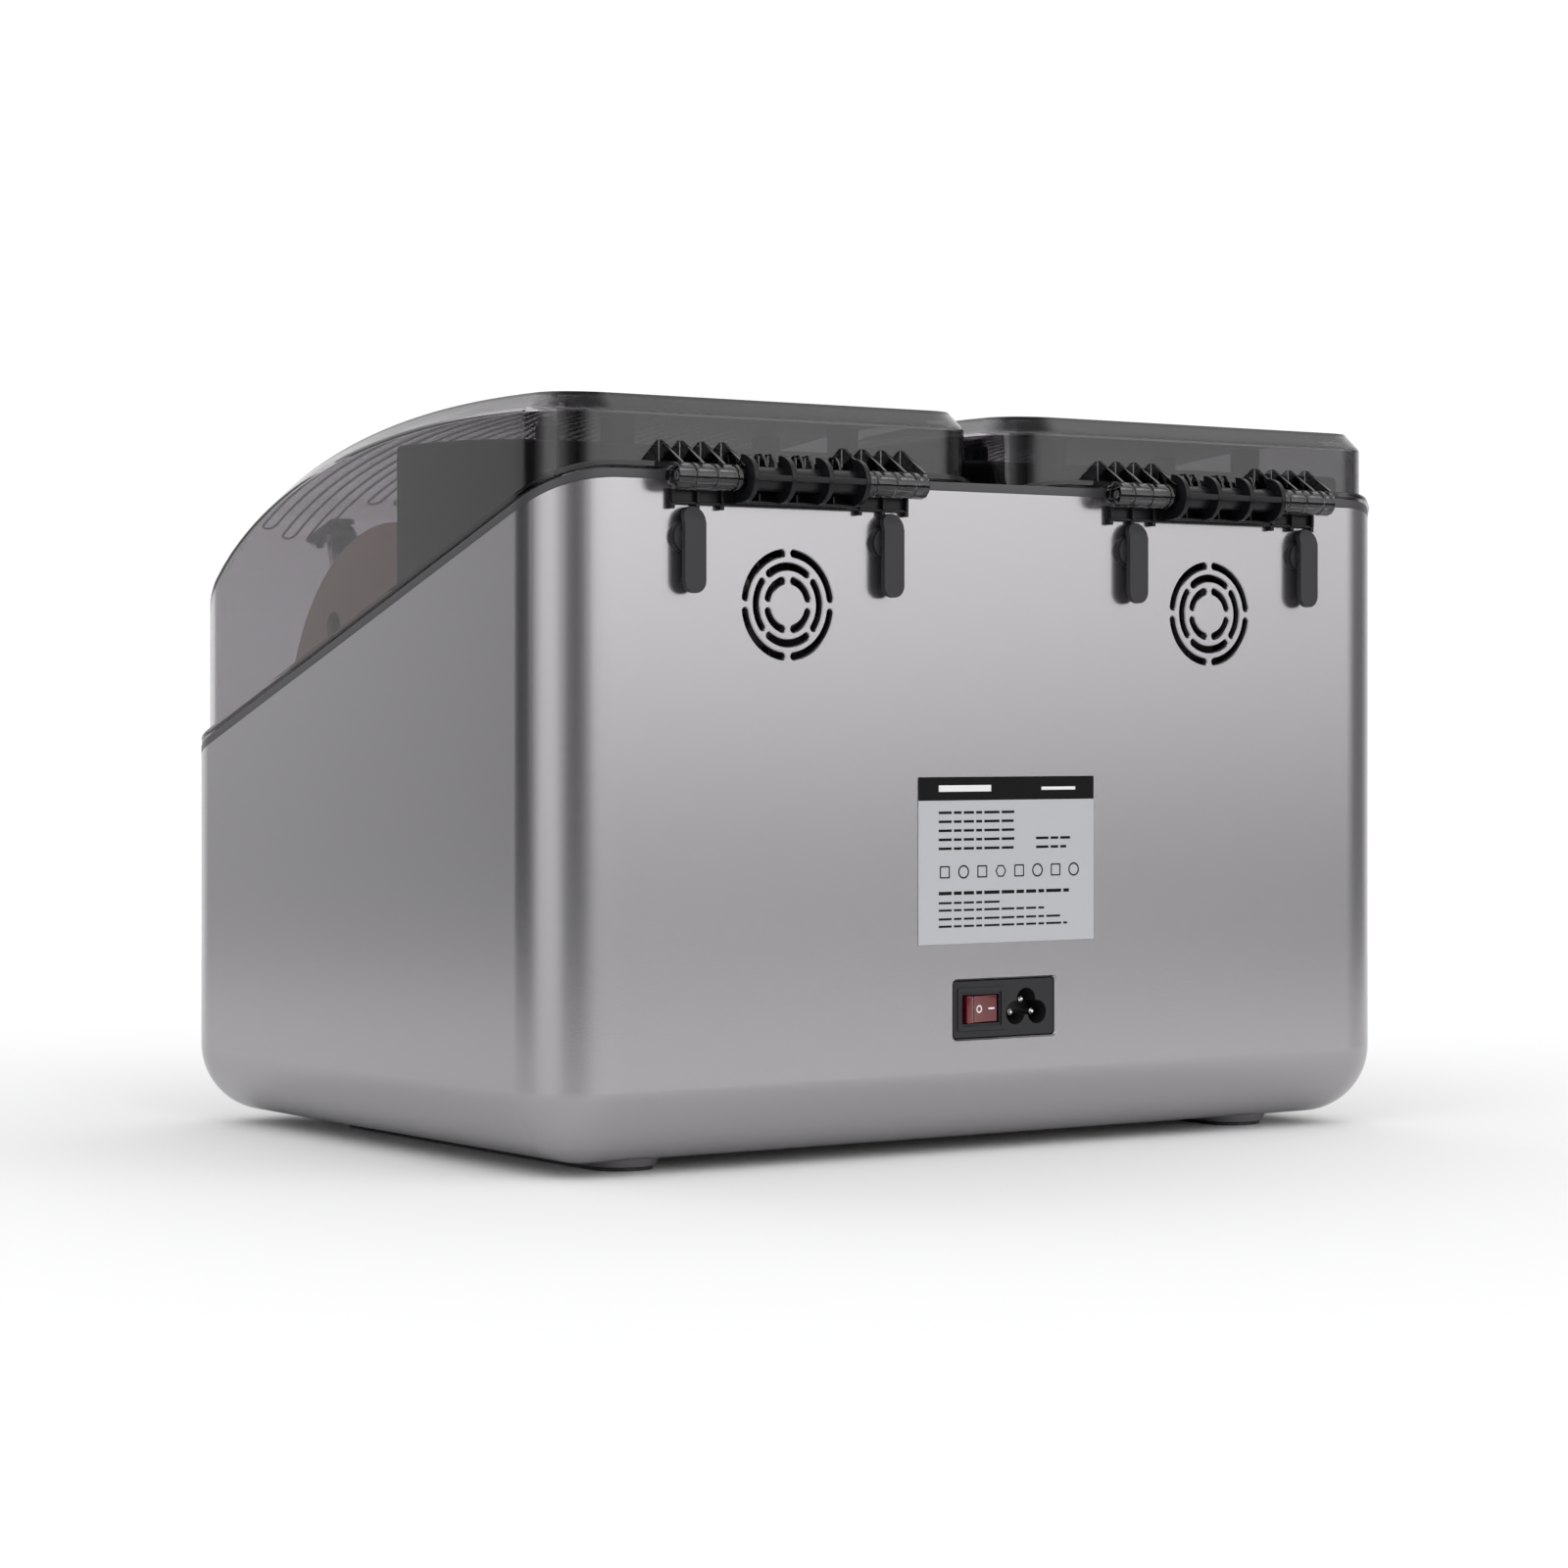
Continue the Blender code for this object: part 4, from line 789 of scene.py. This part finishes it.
def spool():
    x, y, z = SPOOL
    for side, low in (("left", x - CORE_HALF - FLANGE_CARD), ("right", x + CORE_HALF)):
        high = low + FLANGE_CARD
        disc = prism(f"flange_card_{side}", circle(y, z, SPOOL_R, 96), low, high, "X", CARD)
        cut(disc, prism("hub_hole", circle(y, z, HUB_R, 64), low - 5, high + 5, "X"))
        for turn in (135, 255, 15):
            middle = arc(y, z, 77, turn, turn, 1)[0]
            cut(disc, prism("end_hole", circle(*middle, END_HOLE_R, 32), low - 5, high + 5, "X"))
        dress(soften(disc, 0.3, 2), "spool", "cardboard", f"spool_flange_{side}")
    core = prism("core_tube", circle(y, z, CORE_R, 64), x - CORE_HALF, x + CORE_HALF, "X", CARD)
    cut(core, prism("core_hole", circle(y, z, CORE_BORE_R, 64), x - 40, x + 40, "X"))
    dress(soften(core), "spool", "cardboard", "spool_core")
    # The winding's outside is a row of small ridges, as wound filament has
    steps = 4 * 34
    half = CORE_HALF - 0.3
    loops = []
    for i in range(steps + 1):
        radius = 85.2 + 0.8 * abs(math.sin(math.pi * i / 4))
        loops.append((x - half + 2 * half * i / steps, circle(y, z, radius, 96)))
    wound = stack("wound_filament", loops, "X", FILAMENT)
    cut(wound, prism("winding_hole", circle(y, z, CORE_R + 0.2, 64), x - 50, x + 50, "X"))
    dress(soften(wound, 0.0, angle=60), "spool", "filament", "filament_winding")


# ---------------------------------------------------------------- CAD nodes that show as they are

PLAIN = {
    "base_cover": SATIN,
    "power_supply": ALLOY,
    "main_board": BOARD,
    "display_window": DISPLAY,
}
for word in ("left", "right"):
    PLAIN[f"chamber_tub_{word}"] = MATTE
    PLAIN[f"lid_seal_{word}"] = SILICONE
    PLAIN[f"lid_grip_{word}"] = SATIN
    PLAIN[f"fan_frame_{word}"] = SATIN
    PLAIN[f"fan_rotor_{word}"] = SATIN
    PLAIN[f"heater_core_{word}"] = ALLOY
    PLAIN[f"foot_pad_{word}"] = SILICONE
for number in range(1, 5):
    PLAIN[f"cover_screw_{number}"] = STEEL
    for end in ("front", "rear"):
        PLAIN[f"roller_{number}_{end}"] = SILICONE
for node, finish in PLAIN.items():
    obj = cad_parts[node]
    obj.data.materials.clear()
    obj.data.materials.append(finish)

housing()
trimmed_frame()
label()
inlet()
rocker()
plugs()
spool()
for sign, word in ((-1, "left"), (1, "right")):
    lid(sign, word)
    lid_ribs(sign, word)
    hood(sign, word)
    hinge(sign, word)


# ---------------------------------------------------------------- studio

# Brightness by azimuth, in degrees about +Z from +X: the softboxes and dark flags round the horizon
SKY = (
    (-180, 0.2),
    (-158, 0.9),
    (-150, 1.0),
    (-72, 1.1),
    (-62, 0.72),
    (-50, 0.03),
    (-28, 0.03),
    (-14, 0.5),
    (0, 1.6),
    (18, 1.7),
    (32, 0.9),
    (42, 0.3),
    (56, 0.12),
    (66, 0.5),
    (74, 1.4),
    (84, 2.1),
    (124, 2.2),
    (138, 1.6),
    (152, 0.25),
    (180, 0.2),
)
SKY_PEAK = 2.2
OVERHEAD, ZENITH = 1.5, 0.4
# The elevations where the horizon's light starts and ends its fade, and where the zenith's begins
FADE = (22, 55, 78)
# The same for what lies below the horizon, beyond the round floor
BELOW = (
    (-180, 0.3),
    (-165, 0.9),
    (-155, 1.1),
    (-85, 1.1),
    (-70, 0.8),
    (-60, 0.5),
    (-50, 0.06),
    (-20, 0.06),
    (-4, 0.95),
    (26, 0.95),
    (36, 0.15),
    (64, 0.1),
    (84, 0.15),
    (122, 0.1),
    (180, 0.3),
)
FLOOR_R, FLOOR_CENTRE = 1250, (-96, -140)
PALE = 0.94

# Camera, in metres and degrees: level, with its lens shifted to frame the box
CAMERA_PLACE, CAMERA_AZIMUTH = (1.0613, 1.5326, 0.1867), 145.461
FOCAL_LENGTH, SENSOR_WIDTH, LENS_SHIFT = 90.58, 36, -0.0359


def add_node(tree, kind, operation=None, **inputs):
    made = tree.nodes.new(kind)
    if operation:
        made.operation = operation
    for socket, value in inputs.items():
        made.inputs[socket.replace("_", " ")].default_value = value
    return made


def by_azimuth(tree, vector, table, peak):
    """The colour of a ramp that follows a table of (azimuth, brightness), and the vector's height."""
    split = add_node(tree, "ShaderNodeSeparateXYZ")
    turn = add_node(tree, "ShaderNodeMath", "ARCTAN2")
    share = add_node(tree, "ShaderNodeMapRange", From_Min=-math.pi, From_Max=math.pi)
    ramp = add_node(tree, "ShaderNodeValToRGB")
    for _ in table[2:]:
        ramp.color_ramp.elements.new(0.5)
    for stop, (azimuth, level) in zip(ramp.color_ramp.elements, table):
        stop.position = (azimuth + 180) / 360
        stop.color = (*[level / peak] * 3, 1)
    tree.links.new(vector, split.inputs["Vector"])
    tree.links.new(split.outputs["Y"], turn.inputs[0])
    tree.links.new(split.outputs["X"], turn.inputs[1])
    tree.links.new(turn.outputs["Value"], share.inputs["Value"])
    tree.links.new(share.outputs["Result"], ramp.inputs["Fac"])
    return ramp.outputs["Color"], split.outputs["Z"]


def smooth_step(tree, value, low, high):
    fade = add_node(tree, "ShaderNodeMapRange", From_Min=low, From_Max=high)
    fade.interpolation_type = "SMOOTHSTEP"
    tree.links.new(value, fade.inputs["Value"])
    return fade.outputs["Result"]


def mixed(tree, share, first, second):
    """A colour between two, each an output or a grey level. The Mix node's colour sockets are 6 and 7."""
    blend = add_node(tree, "ShaderNodeMix")
    blend.data_type = "RGBA"
    tree.links.new(share, blend.inputs["Factor"])
    for socket, colour in ((blend.inputs[6], first), (blend.inputs[7], second)):
        if isinstance(colour, float):
            socket.default_value = (colour, colour, colour, 1)
        else:
            tree.links.new(colour, socket)
    return blend.outputs[2]


def studio_world():
    """A sky that follows SKY round the horizon and fades to an even overhead light and a dim zenith."""
    world = bpy.data.worlds.new("studio")
    bpy.context.scene.world = world
    world.use_nodes = True
    tree = world.node_tree
    direction = add_node(tree, "ShaderNodeTexCoord").outputs["Generated"]
    horizon, height = by_azimuth(tree, direction, SKY, SKY_PEAK)
    below, _ = by_azimuth(tree, direction, BELOW, SKY_PEAK)
    horizon = mixed(tree, smooth_step(tree, height, -0.02, 0.0), below, horizon)
    low, high, top = (math.sin(math.radians(a)) for a in FADE)
    colour = mixed(tree, smooth_step(tree, height, low, high), horizon, OVERHEAD / SKY_PEAK)
    colour = mixed(tree, smooth_step(tree, height, high, top), colour, ZENITH / SKY_PEAK)
    background = tree.nodes["Background"]
    background.inputs["Strength"].default_value = SKY_PEAK
    tree.links.new(colour, background.inputs["Color"])


pale = principled("pale_floor", (PALE, PALE, PALE), 1.0)
floor = prism("floor", circle(*FLOOR_CENTRE, FLOOR_R, 128), -20, 0, "Z", pale)
studio_world()

lens = bpy.data.cameras.new("camera")
lens.lens = FOCAL_LENGTH
lens.sensor_width = SENSOR_WIDTH
lens.shift_y = LENS_SHIFT
camera = bpy.data.objects.new("camera", lens)
bpy.context.scene.collection.objects.link(camera)
camera.location = CAMERA_PLACE
camera.rotation_euler = (math.radians(90), 0, math.radians(CAMERA_AZIMUTH))
bpy.context.scene.camera = camera
bpy.context.scene.view_settings.view_transform = "Standard"
